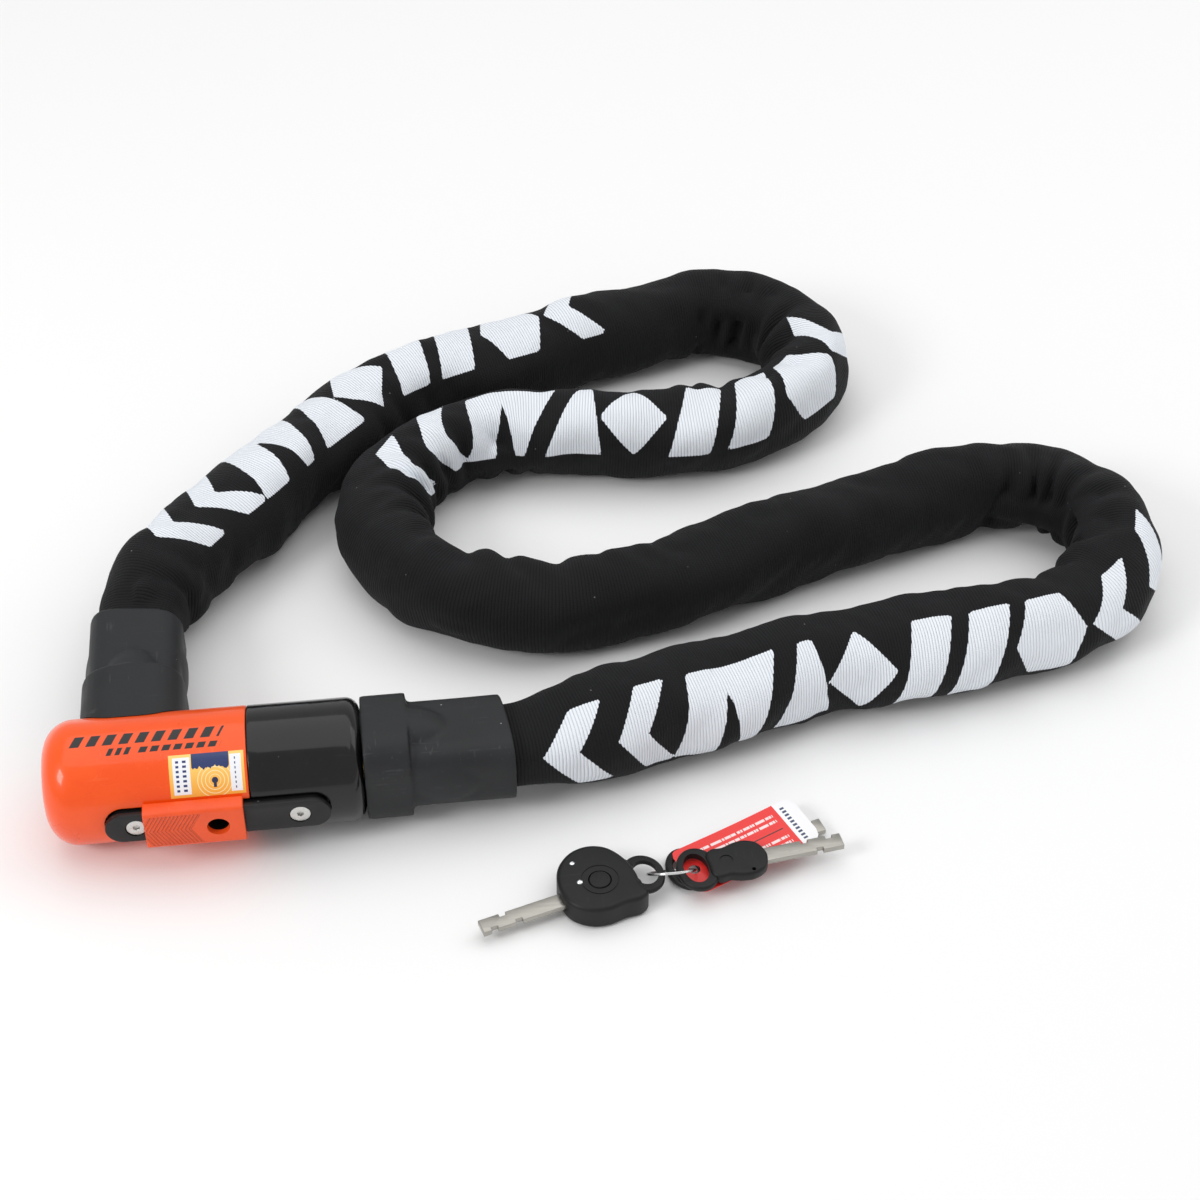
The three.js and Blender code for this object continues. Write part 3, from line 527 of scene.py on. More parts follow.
class SleeveForm:
    """Radius of the sleeve at every distance along the chain and angle round it."""

    def __init__(self):
        self.rings = int(round((SLEEVE_END - SLEEVE_START) / SLEEVE_STEP)) + 1
        self.at = numpy.linspace(SLEEVE_START, SLEEVE_END, self.rings)
        self.angle = numpy.arange(SLEEVE_SIDES) / SLEEVE_SIDES * math.tau - math.pi
        self.centre = [CHAIN.point(a) for a in self.at]
        self.ahead = [CHAIN.direction(a, 0.006) for a in self.at]
        self.left = [Vector((-d.y, d.x, 0)).normalized() for d in self.ahead]
        self.bend = self.bends()
        self.radius = self.base() + self.folds()
        self.wrap_links()
        self.squeeze_in_boots()

    def bends(self):
        """Curvature at each ring, 1/m, positive to the left."""
        reach = 0.012
        found = []
        for a in self.at:
            before, after = CHAIN.direction(a - reach), CHAIN.direction(a + reach)
            found.append((before.x * after.y - before.y * after.x) / (2 * reach))
        return blurred(numpy.array(found)[:, None], 6, 0)[:, 0]

    def flatness(self, a):
        """1 over a flat link, -1 over an upright one."""
        after = bisect.bisect(LINK_AT, a)
        if after == 0 or after == len(LINK_AT):
            return 1.0
        share = (a - LINK_AT[after - 1]) / (LINK_AT[after] - LINK_AT[after - 1])
        return math.cos(math.pi * share) * (1 if (after - 1) % 2 == 0 else -1)

    def base(self):
        rows = []
        for a, bend in zip(self.at, self.bend):
            flat = self.flatness(a)
            curl = min(abs(bend) * 0.035, 1.0)
            swell = noise.noise(Vector((a / 0.055, 3.1, 0.4))) * 0.0032
            wide = SLEEVE_RADIUS - 0.0002 + 0.0015 * flat - 0.0028 * curl + swell
            high = SLEEVE_RADIUS - 0.0009 - 0.0013 * flat + 0.0014 * curl + swell * 0.6
            side = numpy.abs(numpy.sin(self.angle)) / wide
            rise = numpy.abs(numpy.cos(self.angle)) / high
            rows.append((side ** 2.25 + rise ** 2.25) ** (-1 / 2.25))
        return numpy.array(rows)

    def folds(self):
        """Deep folds inside the bends, and drawn wrinkles over the links elsewhere."""
        form = numpy.zeros((self.rings, SLEEVE_SIDES))
        phase = 0.0
        for i, (a, bend) in enumerate(zip(self.at, self.bend)):
            pitch = 0.019 + 0.006 * noise.noise(Vector((a / 0.06, 7.7, 1.2)))
            phase += SLEEVE_STEP / pitch
            depth = min(abs(bend) / 24.0, 1.0) ** 1.4
            inner = math.copysign(math.pi / 2, bend)
            for j, angle in enumerate(self.angle):
                facing = max(math.cos(angle - inner) + 0.45, 0.0) / 1.45
                lean = 0.35 * math.sin(angle * 1.0 + 5 * noise.noise(Vector((a / 0.08, 2.2, 9.0))))
                wave = 0.5 - 0.5 * math.cos(math.tau * (phase + lean))
                form[i, j] -= 0.0085 * depth * facing ** 1.3 * wave ** 2.2
                form[i, j] += 0.0013 * depth * facing * (1 - wave)
                form[i, j] += 0.0021 * wavy(a, angle, 0.026, 1.1, 4.0)
                form[i, j] += 0.0012 * wavy(a + 0.008 * math.sin(angle * 2), angle, 0.011, 0.9, 11.0)
                drawn = wavy(a - 0.012 * math.cos(angle), angle, 0.006, 1.6, 21.0)
                form[i, j] += 0.00045 * drawn
        return form

    def wrap_links(self):
        """Keep the cloth outside the links, drawn over their corners like a tent."""
        tree = chain_tree()
        hits = numpy.zeros((self.rings, SLEEVE_SIDES))
        far = 0.0235
        for i in range(self.rings):
            for j, angle in enumerate(self.angle):
                out = self.left[i] * math.sin(angle) + Vector((0, 0, 1)) * math.cos(angle)
                place, _, _, gap = tree.ray_cast(self.centre[i] + out * far, -out, far)
                if place is not None:
                    hits[i, j] = far - gap
        self.hits = hits
        needed = spread(hits, 2, 1) + SLEEVE_WALL + 0.0006
        tent = blurred(spread(hits, 3, 2), 7, 3) + SLEEVE_WALL + 0.0009
        self.radius = numpy.maximum(numpy.maximum(self.radius, tent), 0.0135)
        self.radius = blurred(self.radius, 1, 0)
        self.radius = numpy.maximum(self.radius, needed)

    def squeeze_in_boots(self):
        """Draw the ends in so that they pass into the boots' mouths."""
        for i, a in enumerate(self.at):
            for mouth in (FIXED_MOUTH_AT - a, a - BOLT_MOUTH_AT):
                if mouth < -0.030:
                    continue
                share = min(max((mouth + 0.030) / 0.030, 0.0), 1.0)
                share = share * share * (3 - 2 * share)
                side = numpy.abs(numpy.sin(self.angle)) / MOUTH_HALF_WIDTH
                rise = numpy.abs(numpy.cos(self.angle)) / MOUTH_HALF_HEIGHT
                mouth_form = (side ** 3.2 + rise ** 3.2) ** (-1 / 3.2)
                self.radius[i] = self.radius[i] * (1 - share) + numpy.minimum(self.radius[i], mouth_form) * share
        outside = (self.at > FIXED_MOUTH_AT) & (self.at < BOLT_MOUTH_AT)
        over_links = spread(self.hits, 1, 1) + SLEEVE_WALL + 0.0004
        self.radius[outside] = numpy.maximum(self.radius, over_links)[outside]
        swept = over_links.copy()
        for shift in range(1, int(BOLT_TRAVEL / SLEEVE_STEP) + 2):
            swept[:-shift] = numpy.maximum(swept[:-shift], over_links[shift:])
        by_bolt = outside & (self.at > BOLT_MOUTH_AT - 3 * BOLT_TRAVEL)
        self.radius[by_bolt] = blurred(numpy.maximum(self.radius, swept), 2, 0)[by_bolt]
        self.radius[by_bolt] = numpy.maximum(self.radius, swept)[by_bolt]

    def place(self, i, j, inset=0.0):
        """A point of the outer face, or that far inside it, kept off the floor."""
        angle = self.angle[j % SLEEVE_SIDES]
        out = self.left[i] * math.sin(angle) + Vector((0, 0, 1)) * math.cos(angle)
        point = self.centre[i] + out * (self.radius[i, j % SLEEVE_SIDES] - inset)
        rest = 0.0007 + inset
        if point.z < rest + 0.0012:
            under = rest + 0.0012 - point.z
            point.z = rest + 0.0012 * math.exp(-under / 0.0012)
        return point


def grid_tube(form, first, last, every, inset, turned_in):
    """A run of the sleeve as an open tube made from a grid, with its cloth coordinates."""
    rows = list(range(first, last, every)) + [last]
    shape = bmesh.new()
    layer = shape.loops.layers.uv.new("cloth")
    bmesh.ops.create_grid(shape, x_segments=len(rows) - 1, y_segments=SLEEVE_SIDES, size=0.5)
    places = {}
    for vert in shape.verts:
        row = round((vert.co.x + 0.5) * (len(rows) - 1))
        side = round((vert.co.y + 0.5) * SLEEVE_SIDES)
        places[vert] = (rows[row], side)
    for face in shape.faces:
        for loop in face.loops:
            row, side = places[loop.vert]
            loop[layer].uv = (form.at[row], (side / SLEEVE_SIDES - 0.5) * math.tau * SLEEVE_RADIUS)
    for vert, (row, side) in places.items():
        vert.co = form.place(row, side, inset)
    bmesh.ops.remove_doubles(shape, verts=shape.verts, dist=0.00001)
    if turned_in:
        bmesh.ops.reverse_faces(shape, faces=shape.faces)
    return shape


def sleeve_run(form, first, last):
    """Outer and inner face of a run of sleeve, joined by a rim at both ends."""
    outer = grid_tube(form, first, last, 1, 0.0, False)
    inner = grid_tube(form, first, last, 3, SLEEVE_WALL, True)
    mesh = bpy.data.meshes.new("inner_face")
    inner.to_mesh(mesh)
    inner.free()
    outer.from_mesh(mesh)
    bpy.data.meshes.remove(mesh)
    for row in (first, last):
        centre = form.centre[row]
        rim = [e for e in outer.edges if e.is_boundary and (e.verts[0].co - centre).length < 0.03]
        made = bmesh.ops.bridge_loops(outer, edges=rim)
        for face in made["faces"]:
            face.smooth = False
            for edge in face.edges:
                edge.smooth = False
    return outer


# Printed marks, each in its own cell: a list of outlines in millimetres, the second cut from the
# first. They read along the sleeve and stand across it.
MARKS = {
    "chevron": (25, [[(-13, 19), (0, 19), (13, 0), (0, -19), (-13, -19), (0, 0)]]),
    "block": (22, [[(-14, -19), (3, -19), (14, 19), (-3, 19)]]),
    "arrow": (30, [[(-15, 19), (0, 19), (15, 0), (0, -19), (-15, -19), (-5, 0)]]),
    "lozenge": (30, [[(0, 19), (15, 0), (0, -19), (-15, 0)]]),
    "wedge": (19, [[(-13, -19), (13, -19), (8, 19), (2, 19)]]),
    "fallen wedge": (19, [[(-2, -19), (-8, -19), (-13, 19), (13, 19)]]),
    "hexagon": (31, [[(-8, 19), (8, 19), (15, 0), (8, -19), (-8, -19), (-15, 0)]]),
}
PRINT_ROW = ("chevron", "chevron", "block", "wedge", "fallen wedge", "lozenge",
             "block", "block", "hexagon", "chevron", "chevron", "arrow")


def outline_distance(x, y, outline):
    """Signed distance from a closed outline, negative inside."""
    best = 1e9
    inside = False
    for (ax, ay), (bx, by) in zip(outline, outline[1:] + outline[:1]):
        ex, ey = bx - ax, by - ay
        share = min(max(((x - ax) * ex + (y - ay) * ey) / (ex * ex + ey * ey), 0.0), 1.0)
        best = min(best, math.hypot(x - ax - ex * share, y - ay - ey * share))
        if (ay > y) != (by > y) and x < ax + (y - ay) * ex / ey:
            inside = not inside
    return -best if inside else best


def mark_distance(x, y, outlines):
    found = outline_distance(x, y, outlines[0])
    for hole in outlines[1:]:
        found = max(found, -outline_distance(x, y, hole))
    return found


def print_places():
    """Where each mark stands: its middle along the chain, its angle in degrees and its sense."""
    runs = (
        (CHAIN.nearest(lay(45, 119, 20)), CHAIN.nearest(lay(268, 281, 20)), 4.0, -1),
        (CHAIN.nearest(lay(343, 258, 20)), CHAIN.nearest(lay(139, 158, 20)), 31.0, 1),
        (CHAIN.nearest(lay(454, 100, 20)), CHAIN.nearest(lay(188, -1, 22)) - 0.003, 68.0, 1),
    )
    places = []
    for start, end, angle, sense in runs:
        along = (end if sense > 0 else start) / MM
        for name in PRINT_ROW:
            width, outlines = MARKS[name]
            middle = along - sense * width / 2
            if not start / MM < middle - sense * width / 2 < end / MM:
                break
            places.append((middle, math.radians(angle), sense, outlines))
            along -= sense * (width + 2.5)
    return places


def paint_distance(shape, places):
    """Store at each vertex how far, in millimetres, it lies outside the nearest printed mark."""
    layer = shape.verts.layers.float.new("print_distance")
    cloth = shape.loops.layers.uv["cloth"]
    where = {}
    for face in shape.faces:
        for loop in face.loops:
            where[loop.vert] = loop[cloth].uv
    for vert, (at, around) in where.items():
        at, around = at / MM, around / MM
        found = 9.0
        for middle, angle, sense, outlines in places:
            if abs(at - middle) > 22:
                continue
            x = (at - middle) * sense
            y = (around - angle * SLEEVE_RADIUS / MM) * sense
            if abs(y) < 26:
                found = min(found, mark_distance(x + 0.0013, y + 0.0017, outlines))
        vert[layer] = max(min(found, 9.0), -9.0)


def make_ribs():
    """Ribs across a woven tube, the crossing threads in them, and slack waves in the cloth."""
    group, takes, gives = new_group(
        "woven_ribs",
        {"Cloth": ("NodeSocketVector", None), "Pitch": ("NodeSocketFloat", 1.25)},
        {"Height": "NodeSocketFloat", "Thread": "NodeSocketFloat", "Wander": "NodeSocketFloat"})
    w = Wires(group)
    along, around, _ = w.split(takes.outputs["Cloth"])
    wander = w.noise(takes.outputs["Cloth"], 28.0, 2.0, 0.5)
    shift = w.math("MULTIPLY", wander, 0.0022)
    turns = w.math("DIVIDE", w.math("ADD", along, shift), w.math("MULTIPLY", takes.outputs["Pitch"], 0.001))
    rib = w.math("ABSOLUTE", w.math("SINE", w.math("MULTIPLY", turns, math.pi)))
    rib = w.math("POWER", rib, 0.6)
    threads = w.math("SINE", w.math("MULTIPLY", around, math.tau / 0.0007))
    lean = w.math("ADD", w.math("MULTIPLY", threads, 0.12), rib)
    w.feed(gives.inputs["Height"], lean)
    w.feed(gives.inputs["Thread"], rib)
    w.feed(gives.inputs["Wander"], wander)
    return group


RIBS = make_ribs()


def sleeve_fabric():
    material, shader, w = new_material(
        "sleeve_fabric", (0.006, 0.006, 0.0065), 0.85, Sheen_Weight=0.035, Sheen_Roughness=0.4,
        Sheen_Tint=(0.8, 0.83, 0.9, 1), Specular_IOR_Level=0.2)
    cloth = w.node("ShaderNodeUVMap", uv_map="cloth").outputs[0]
    ribs = w.use(RIBS, Cloth=cloth, Pitch=1.25)
    place = w.place()
    distance = w.node("ShaderNodeAttribute", attribute_name="print_distance").outputs["Fac"]
    ragged = w.math("ADD", distance, w.math("MULTIPLY", w.math("SUBTRACT", ribs["Thread"], 0.6), -0.35))
    fray = w.math("MULTIPLY", w.math("SUBTRACT", w.noise(cloth, 900.0, 2.0, 0.6), 0.5), 0.5)
    printed = w.ramp(w.math("ADD", ragged, fray), -0.12, 0.12, 1.0, 0.0)
    # Mask that is 1 on the rib crests and 0 in the grooves. The print covers the grooves a little less, and the black
    # and the white are both darkened in the grooves as painted shade between the ribs.
    rib_ink_and_groove_shade = w.ramp(ribs["Thread"], 0.1, 0.5)
    worn = w.ramp(w.noise(place, 60.0, 3.0, 0.6), 0.2, 0.34)
    cover = w.math("MULTIPLY", printed,
                   w.math("MULTIPLY", w.ramp(rib_ink_and_groove_shade, 0.0, 1.0, 0.80, 1.0), w.ramp(worn, 0.0, 1.0, 0.93, 1.0)))
    # Painted shade: the black cloth is darker in the grooves between the ribs.
    black = w.mix(rib_ink_and_groove_shade, (0.0015, 0.0015, 0.0018, 1), (0.0095, 0.0095, 0.0105, 1))
    black = w.mix(w.use(DUST, Vector=place, Amount=0.6)["Mask"], black, (0.25, 0.25, 0.25, 1))
    # Painted shade: the white print is darker in the grooves between the ribs.
    white = w.mix(rib_ink_and_groove_shade, (0.66, 0.71, 0.78, 1), (0.86, 0.90, 0.96, 1))
    w.feed(shader.inputs["Base Color"], w.mix(cover, black, white))
    w.feed(shader.inputs["Roughness"], w.ramp(cover, 0.0, 1.0, 0.82, 0.66))
    creases = w.noise(w.stretch(cloth, (70, 22, 1)), 1.0, 3.0, 0.55)
    slack = w.bump(creases, 0.5, 0.0022)
    w.feed(shader.inputs["Normal"], w.bump(ribs["Height"], 0.85, 0.00045, slack))
    return material


def add_sleeve():
    form = SleeveForm()
    cloth = sleeve_fabric()
    cut = int(numpy.argmin(numpy.abs(form.at - SLEEVE_CUT)))
    places = print_places()
    runs = []
    for name, first, last, node in (("fabric_sleeve", 0, cut, "chain_sleeve"),
                                    ("fabric_sleeve_end", cut, form.rings - 1, "sleeve_end")):
        shape = sleeve_run(form, first, last)
        paint_distance(shape, places)
        mesh = bpy.data.meshes.new(name)
        shape.to_mesh(mesh)
        shape.free()
        piece = bpy.data.objects.new(name, mesh)
        bpy.context.scene.collection.objects.link(piece)
        mesh.materials.append(cloth)
        mesh.shade_smooth()
        mesh.set_sharp_from_angle(angle=math.radians(75))
        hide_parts(node)
        runs.append(piece)
    main, end = runs
    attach(main, "root")
    CHAIN.point(BOLT_MOUTH_AT - 0.004)
    CHAIN.point(SLEEVE_CUT + 0.003)
    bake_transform(end)
    path = [CHAIN.point(a) for a in numpy.linspace(SLEEVE_START, form.at[cut], 240)]


add_sleeve()


# ---------------------------------------------------------------------------------------------
# rubber boots
# ---------------------------------------------------------------------------------------------
COLLAR_LENGTH, COLLAR_WIDTH, COLLAR_HEIGHT = 19, 41, 43
ARM_LENGTH, ARM_WIDTH, ARM_HEIGHT = 40, 38, 30
BOOT_LENGTH = COLLAR_LENGTH + ARM_LENGTH


def rounded_block(low, high, radius, segments=4):
    """A box along X with its long edges well rounded."""
    shape = box_shape(low, high)
    along = [e for e in shape.edges if abs(e.verts[0].co.x - e.verts[1].co.x) > 1]
    bmesh.ops.bevel(shape, geom=along, offset=radius, affect="EDGES", segments=segments,
                    profile=0.5, material=-1, clamp_overlap=True)
    return shape


def joined_shapes(shapes):
    whole = bmesh.new()
    for shape in shapes:
        mesh = bpy.data.meshes.new("part")
        shape.to_mesh(mesh)
        shape.free()
        whole.from_mesh(mesh)
        bpy.data.meshes.remove(mesh)
    return whole


def boot_outside(start):
    """Collar, nose and arm of a boot along X, in millimetres from the barrel's face."""
    collar = rounded_block((start, -COLLAR_WIDTH / 2, -COLLAR_HEIGHT / 2),
                           (COLLAR_LENGTH - 1, COLLAR_WIDTH / 2, COLLAR_HEIGHT / 2), 13, 6)
    arm = rounded_block((9, -ARM_WIDTH / 2, -ARM_HEIGHT / 2 - 0.4),
                        (BOOT_LENGTH, ARM_WIDTH / 2, ARM_HEIGHT / 2 + 0.4), 9, 5)
    bmesh.ops.bisect_plane(arm, geom=arm.verts[:] + arm.edges[:] + arm.faces[:],
                           plane_co=(17, 0, 0), plane_no=(1, 0, 0))
    for vert in arm.verts:
        if vert.co.x < 10:
            vert.co.y *= 0.86
            vert.co.z *= 0.66
    noses = []
    for side in (-1, 1):
        nose = bmesh.new()
        bmesh.ops.create_icosphere(nose, subdivisions=4, radius=1.0)
        bmesh.ops.scale(nose, vec=(24, 13, 11), verts=nose.verts)
        bmesh.ops.translate(nose, vec=(12, 0, side * 10.6), verts=nose.verts)
        noses.append(nose)
    shoulders = []
    for side in (-1, 1):
        shoulder = bmesh.new()
        bmesh.ops.create_icosphere(shoulder, subdivisions=4, radius=1.0)
        bmesh.ops.scale(shoulder, vec=(20, 7.5, 13), verts=shoulder.verts)
        bmesh.ops.translate(shoulder, vec=(32, side * 13.2, 0), verts=shoulder.verts)
        shoulders.append(shoulder)
    return joined_shapes([collar, arm] + noses + shoulders)


def cut_boot(piece, face_cutter):
    rooms = [
        box_shape((-2, -4.9, -13.3), (51.2, 4.9, 13.3)),
        rounded_block((6.5, -15.6, -6.5), (BOOT_LENGTH + 4, 15.6, 6.5), 4, 3),
        rounded_block((BOOT_LENGTH - 10, -17.2, -12.8), (BOOT_LENGTH + 4, 17.2, 12.8), 9, 5),
    ]
    cutters = [loose_object("room", room) for room in rooms]
    if face_cutter is not None:
        cutters.append(loose_object("face_room", face_cutter))
    cut_with(piece, cutters)


def shaped_boot(name, start, face_cutter, slope):
    """Blend the boot's lumps into one moulded skin, slope its mouth and cut the rooms inside."""
    piece = loose_object(name, boot_outside(start))
    skin = piece.modifiers.new("skin", "REMESH")
    skin.mode = "VOXEL"
    skin.voxel_size = 0.85
    skin.use_smooth_shade = True
    ease = piece.modifiers.new("ease", "SMOOTH")
    ease.factor = 0.5
    ease.iterations = 9
    apply_modifiers(piece)
    for vert in piece.data.vertices:
        share = min(max((vert.co.x - 38) / 21, 0.0), 1.0)
        share = share * share * (3 - 2 * share)
        lean = (vert.co.y * slope + 22.5) / 45
        vert.co.x -= 5.0 * share * min(max(lean, 0.0), 1.0) ** 1.6
        vert.co.z += 0.5 * share * math.copysign(min(abs(vert.co.z) / 15, 1.0) ** 2, vert.co.z) * (1 - (vert.co.y / 22.5) ** 2)
    cut_boot(piece, face_cutter)
    return piece


def place_boot(piece, matrix, material, body, node):
    piece.data.transform(matrix)
    piece.data.materials.clear()
    piece.data.materials.append(material)
    piece.data.shade_smooth()
    piece.data.set_sharp_from_angle(angle=math.radians(45))
    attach(piece, body)
    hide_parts(node)


def add_boots():
    rubber = moulded("boot_rubber", (0.013, 0.014, 0.0155), 0.55, 0.9, 0.00006, blotch=0.14, scuffs=0.45,
                     dust=0.5, scuff_colour=(0.075, 0.078, 0.082), Specular_IOR_Level=0.36)
    flange_room = bmesh.new()
    bmesh.ops.create_cone(flange_room, cap_ends=True, segments=64, radius1=15.3, radius2=15.3, depth=8)
    bmesh.ops.rotate(flange_room, matrix=Matrix.Rotation(math.pi / 2, 3, "Y"), verts=flange_room.verts)
    bmesh.ops.translate(flange_room, vec=(-0.7, 0, 0), verts=flange_room.verts)
    bolt_boot = shaped_boot("bolt_boot", 0, flange_room, 1)
    place_boot(bolt_boot, Matrix.Translation(lay(123.1, 0, AXIS_Z / MM)) @ Matrix.Diagonal((MM, MM, MM, 1)),
               rubber, "bolt_end", "bolt_end_boot")
    saddle = bmesh.new()
    bmesh.ops.create_cone(saddle, cap_ends=True, segments=128, radius1=24.8, radius2=24.8, depth=60)
    bmesh.ops.rotate(saddle, matrix=Matrix.Rotation(math.pi / 2, 3, "X"), verts=saddle.verts)
    bmesh.ops.translate(saddle, vec=(-24.5, 0, 0), verts=saddle.verts)
    fixed_boot = shaped_boot("fixed_boot", -18, saddle, -1)
    turn = Matrix.Rotation(math.pi / 2, 4, "Z")
    place_boot(fixed_boot, Matrix.Translation(lay(33.5, 24.5, AXIS_Z / MM)) @ turn @ Matrix.Diagonal((MM, MM, MM, 1)),
               rubber, "root", "fixed_end_boot")


add_boots()


# ---------------------------------------------------------------------------------------------
# barrel: covers, rail, slider, screws
# ---------------------------------------------------------------------------------------------
def barrel_coordinates(w):
    """Millimetres along the barrel, and round it from the front up to the top and over."""
    x, y, z = w.split(w.place())
    along = w.math("MULTIPLY", w.math("SUBTRACT", x, BARREL_LEFT), 1000.0)
    rise = w.math("SUBTRACT", z, AXIS_Z)
    front = w.math("MULTIPLY", w.math("SUBTRACT", y, AXIS_Y), -1.0)
    angle = w.math("ARCTAN2", rise, front)
    return along, w.math("MULTIPLY", angle, BARREL_RADIUS / MM)


def orange_gloss():
    """Glossy moulded orange with a printed mark: a row of slanted blocks over a badge and bars."""
    colour = (0.90, 0.088, 0.004)
    material, shader, w = new_material("orange_gloss", colour, 0.3, Coat_Weight=0.4, Coat_Roughness=0.07,
                                       Specular_IOR_Level=0.3)
    place = w.place()
    grain = w.use(GRAIN, Vector=place, Size=1.2)
    rubbed = w.use(SCUFFS, Vector=place, Amount=0.10)["Mask"]
    tone = w.mix(grain["Blotch"], (0.87, 0.080, 0.004, 1), (0.93, 0.093, 0.005, 1))
    tone = w.mix(rubbed, tone, (1.0, 0.3, 0.12, 1))
    along, around = barrel_coordinates(w)
    leaned = w.math("SUBTRACT", along, w.math("MULTIPLY", around, 0.45))

    def band(low, high):
        return w.between(around, low, high, 0.12)

    def blocks(start, end, pitch, fill, shift):
        steps = w.math("FRACT", w.math("DIVIDE", w.math("SUBTRACT", leaned, shift), pitch))
        bars = w.between(steps, 0.03, fill, 0.02)
        return w.math("MULTIPLY", bars, w.between(leaned, start, end, 0.08))

    upper = w.math("MULTIPLY", band(33.2, 38.2), blocks(-3, 54, 6.2, 0.62, -3))
    lower = w.math("MULTIPLY", band(28.6, 31.6), blocks(13.0, 23.0, 3.3, 0.6, 13.0))
    tail = w.math("MULTIPLY", band(28.9, 31.3), blocks(25.0, 56.0, 4.4, 0.7, 25.0))
    ink = w.math("MAXIMUM", upper, w.math("MAXIMUM", lower, tail))
    w.feed(shader.inputs["Base Color"], w.mix(ink, tone, (0.005, 0.004, 0.004, 1)))
    rough = w.ramp(grain["Blotch"], 0.0, 1.0, 0.27, 0.33)
    w.feed(shader.inputs["Roughness"], w.math("ADD", rough, w.math("MULTIPLY", rubbed, 0.2)))
    waves = w.noise(place, 45.0, 2.0, 0.4)
    w.feed(shader.inputs["Normal"], w.bump(grain["Height"], 0.12, 0.00003, w.bump(waves, 0.08, 0.0003)))
    return material


def black_gloss():
    material, shader, w = new_material("black_gloss", (0.003, 0.003, 0.0035), 0.16, Coat_Weight=0.4, Coat_Roughness=0.03,
                                       Specular_IOR_Level=0.25)
    place = w.place()
    grain = w.use(GRAIN, Vector=place, Size=1.2)
    rubbed = w.use(SCUFFS, Vector=place, Amount=0.12)["Mask"]
    specks = w.use(DUST, Vector=place, Amount=0.25)["Mask"]
    tone = w.mix(grain["Blotch"], (0.0025, 0.0025, 0.003, 1), (0.0045, 0.0045, 0.005, 1))
    tone = w.mix(rubbed, tone, (0.06, 0.06, 0.06, 1))
    w.feed(shader.inputs["Base Color"], w.mix(specks, tone, (0.3, 0.3, 0.3, 1)))
    w.feed(shader.inputs["Roughness"],
           w.math("ADD", w.ramp(grain["Blotch"], 0.0, 1.0, 0.13, 0.2), w.math("MULTIPLY", rubbed, 0.25)))
    waves = w.noise(place, 60.0, 2.0, 0.4)
    w.feed(shader.inputs["Normal"], w.bump(waves, 0.05, 0.0003))
    return material


def stadium(left, right, half_height, front, back, steps=24):
    """A block with round ends, in the barrel's lay: x from left to right, y from front to back."""
    shape = bmesh.new()
    bmesh.ops.create_circle(shape, cap_ends=True, segments=steps * 2, radius=half_height * MM)
    bmesh.ops.rotate(shape, matrix=Matrix.Rotation(math.pi / 2, 3, "X"), verts=shape.verts)
    for vert in shape.verts:
        if vert.co.x > 0.0000001:
            vert.co += lay(right - half_height, front, AXIS_Z / MM)
        else:
            vert.co += lay(left + half_height, front, AXIS_Z / MM)
    faces = shape.faces[:]
    made = bmesh.ops.extrude_face_region(shape, geom=faces)
    moved = [item for item in made["geom"] if isinstance(item, bmesh.types.BMVert)]
    bmesh.ops.translate(shape, vec=(0, (back - front) * MM, 0), verts=moved)
    bmesh.ops.recalc_face_normals(shape, faces=shape.faces)
    return shape


RAIL_LEFT, RAIL_RIGHT = 23.4, 109.4
KEYWAY_X = 66.4


def mm_box(low, high):
    return box_shape(lay(*low), lay(*high))


def straight(first, last, radius):
    """Points of a straight stretch of a turned profile, one every 4 mm or so."""
    count = int((last - first) / 4) + 1
    return [(first + (last - first) * i / count, radius) for i in range(1, count)]


def add_covers():
    orange = loose_object("orange_shell", spun(
        [(0, 0), (0, 11)] + corner(12, 12.5, 12, 180, 90, 14) + straight(12, 78.6, 24.5)
        + corner(78.6, 24.1, 0.4, 90, 0, 3) + [(79, 20.5), (9.5, 20.5), (4.5, 15.5), (4.5, 0)], 128))
    pocket = loose_object("pocket", stadium(RAIL_LEFT - 0.3, RAIL_RIGHT + 0.3, 7.3, -26, -17))
    window = loose_object("window", mm_box((28.6, 0, 11.2), (38.4, 26, 37.8)))
    cut_with(orange, [pocket, window])
    black = loose_object("black_shell", spun(
        [(79.3, 20.5)] + corner(79.7, 24.1, 0.4, 180, 90, 3) + straight(79.7, 117.3, 24.5)
        + corner(117.3, 19, 5.5, 90, 0, 9) + [(122.8, 9), (118.3, 9), (118.3, 20.5), (79.3, 20.5)], 128))
    pocket = loose_object("pocket", stadium(RAIL_LEFT - 0.3, RAIL_RIGHT + 0.3, 7.3, -26, -17))
    cut_with(black, [pocket])
    for piece, material, node, slot in ((orange, orange_gloss(), "orange_cover", "orange_plastic"),
                                        (black, black_gloss(), "black_cover", "black_gloss")):
        piece.data.materials.clear()
        piece.data.materials.append(material)
        piece.data.shade_smooth()
        piece.data.set_sharp_from_angle(angle=math.radians(32))
        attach(piece, "root")
        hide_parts(node)


def put_softened(name, node, body, material, width, segments=3, over=30, sharp=50):
    """A CAD node's shape with its edges rounded off."""
    shape = copy_of_node(node)
    round_edges(shape, width * MM, segments, over)
    return put_piece(name, shape, material, body, (node,), sharp)


def add_rail():
    satin = moulded("rail_satin", (0.006, 0.006, 0.0065), 0.38, 0.7, 0.00003, blotch=0.1, scuffs=0.3, dust=0.3,
                    Specular_IOR_Level=0.36)
    put_softened("keyway_rail_body", "keyway_rail", "root", satin, 0.55, 4, 35, 40)
    steel = metal("screw_steel", (0.62, 0.62, 0.60), 0.3, (600, 40, 600), tarnish=0.25)
    for side in ("left", "right"):
        put_softened("screw_" + side, "rail_screw_" + side, "root", steel, 0.22, 2, 35, 40)
    frame["nodes"]["sidebar"].material_slots[0].material = steel


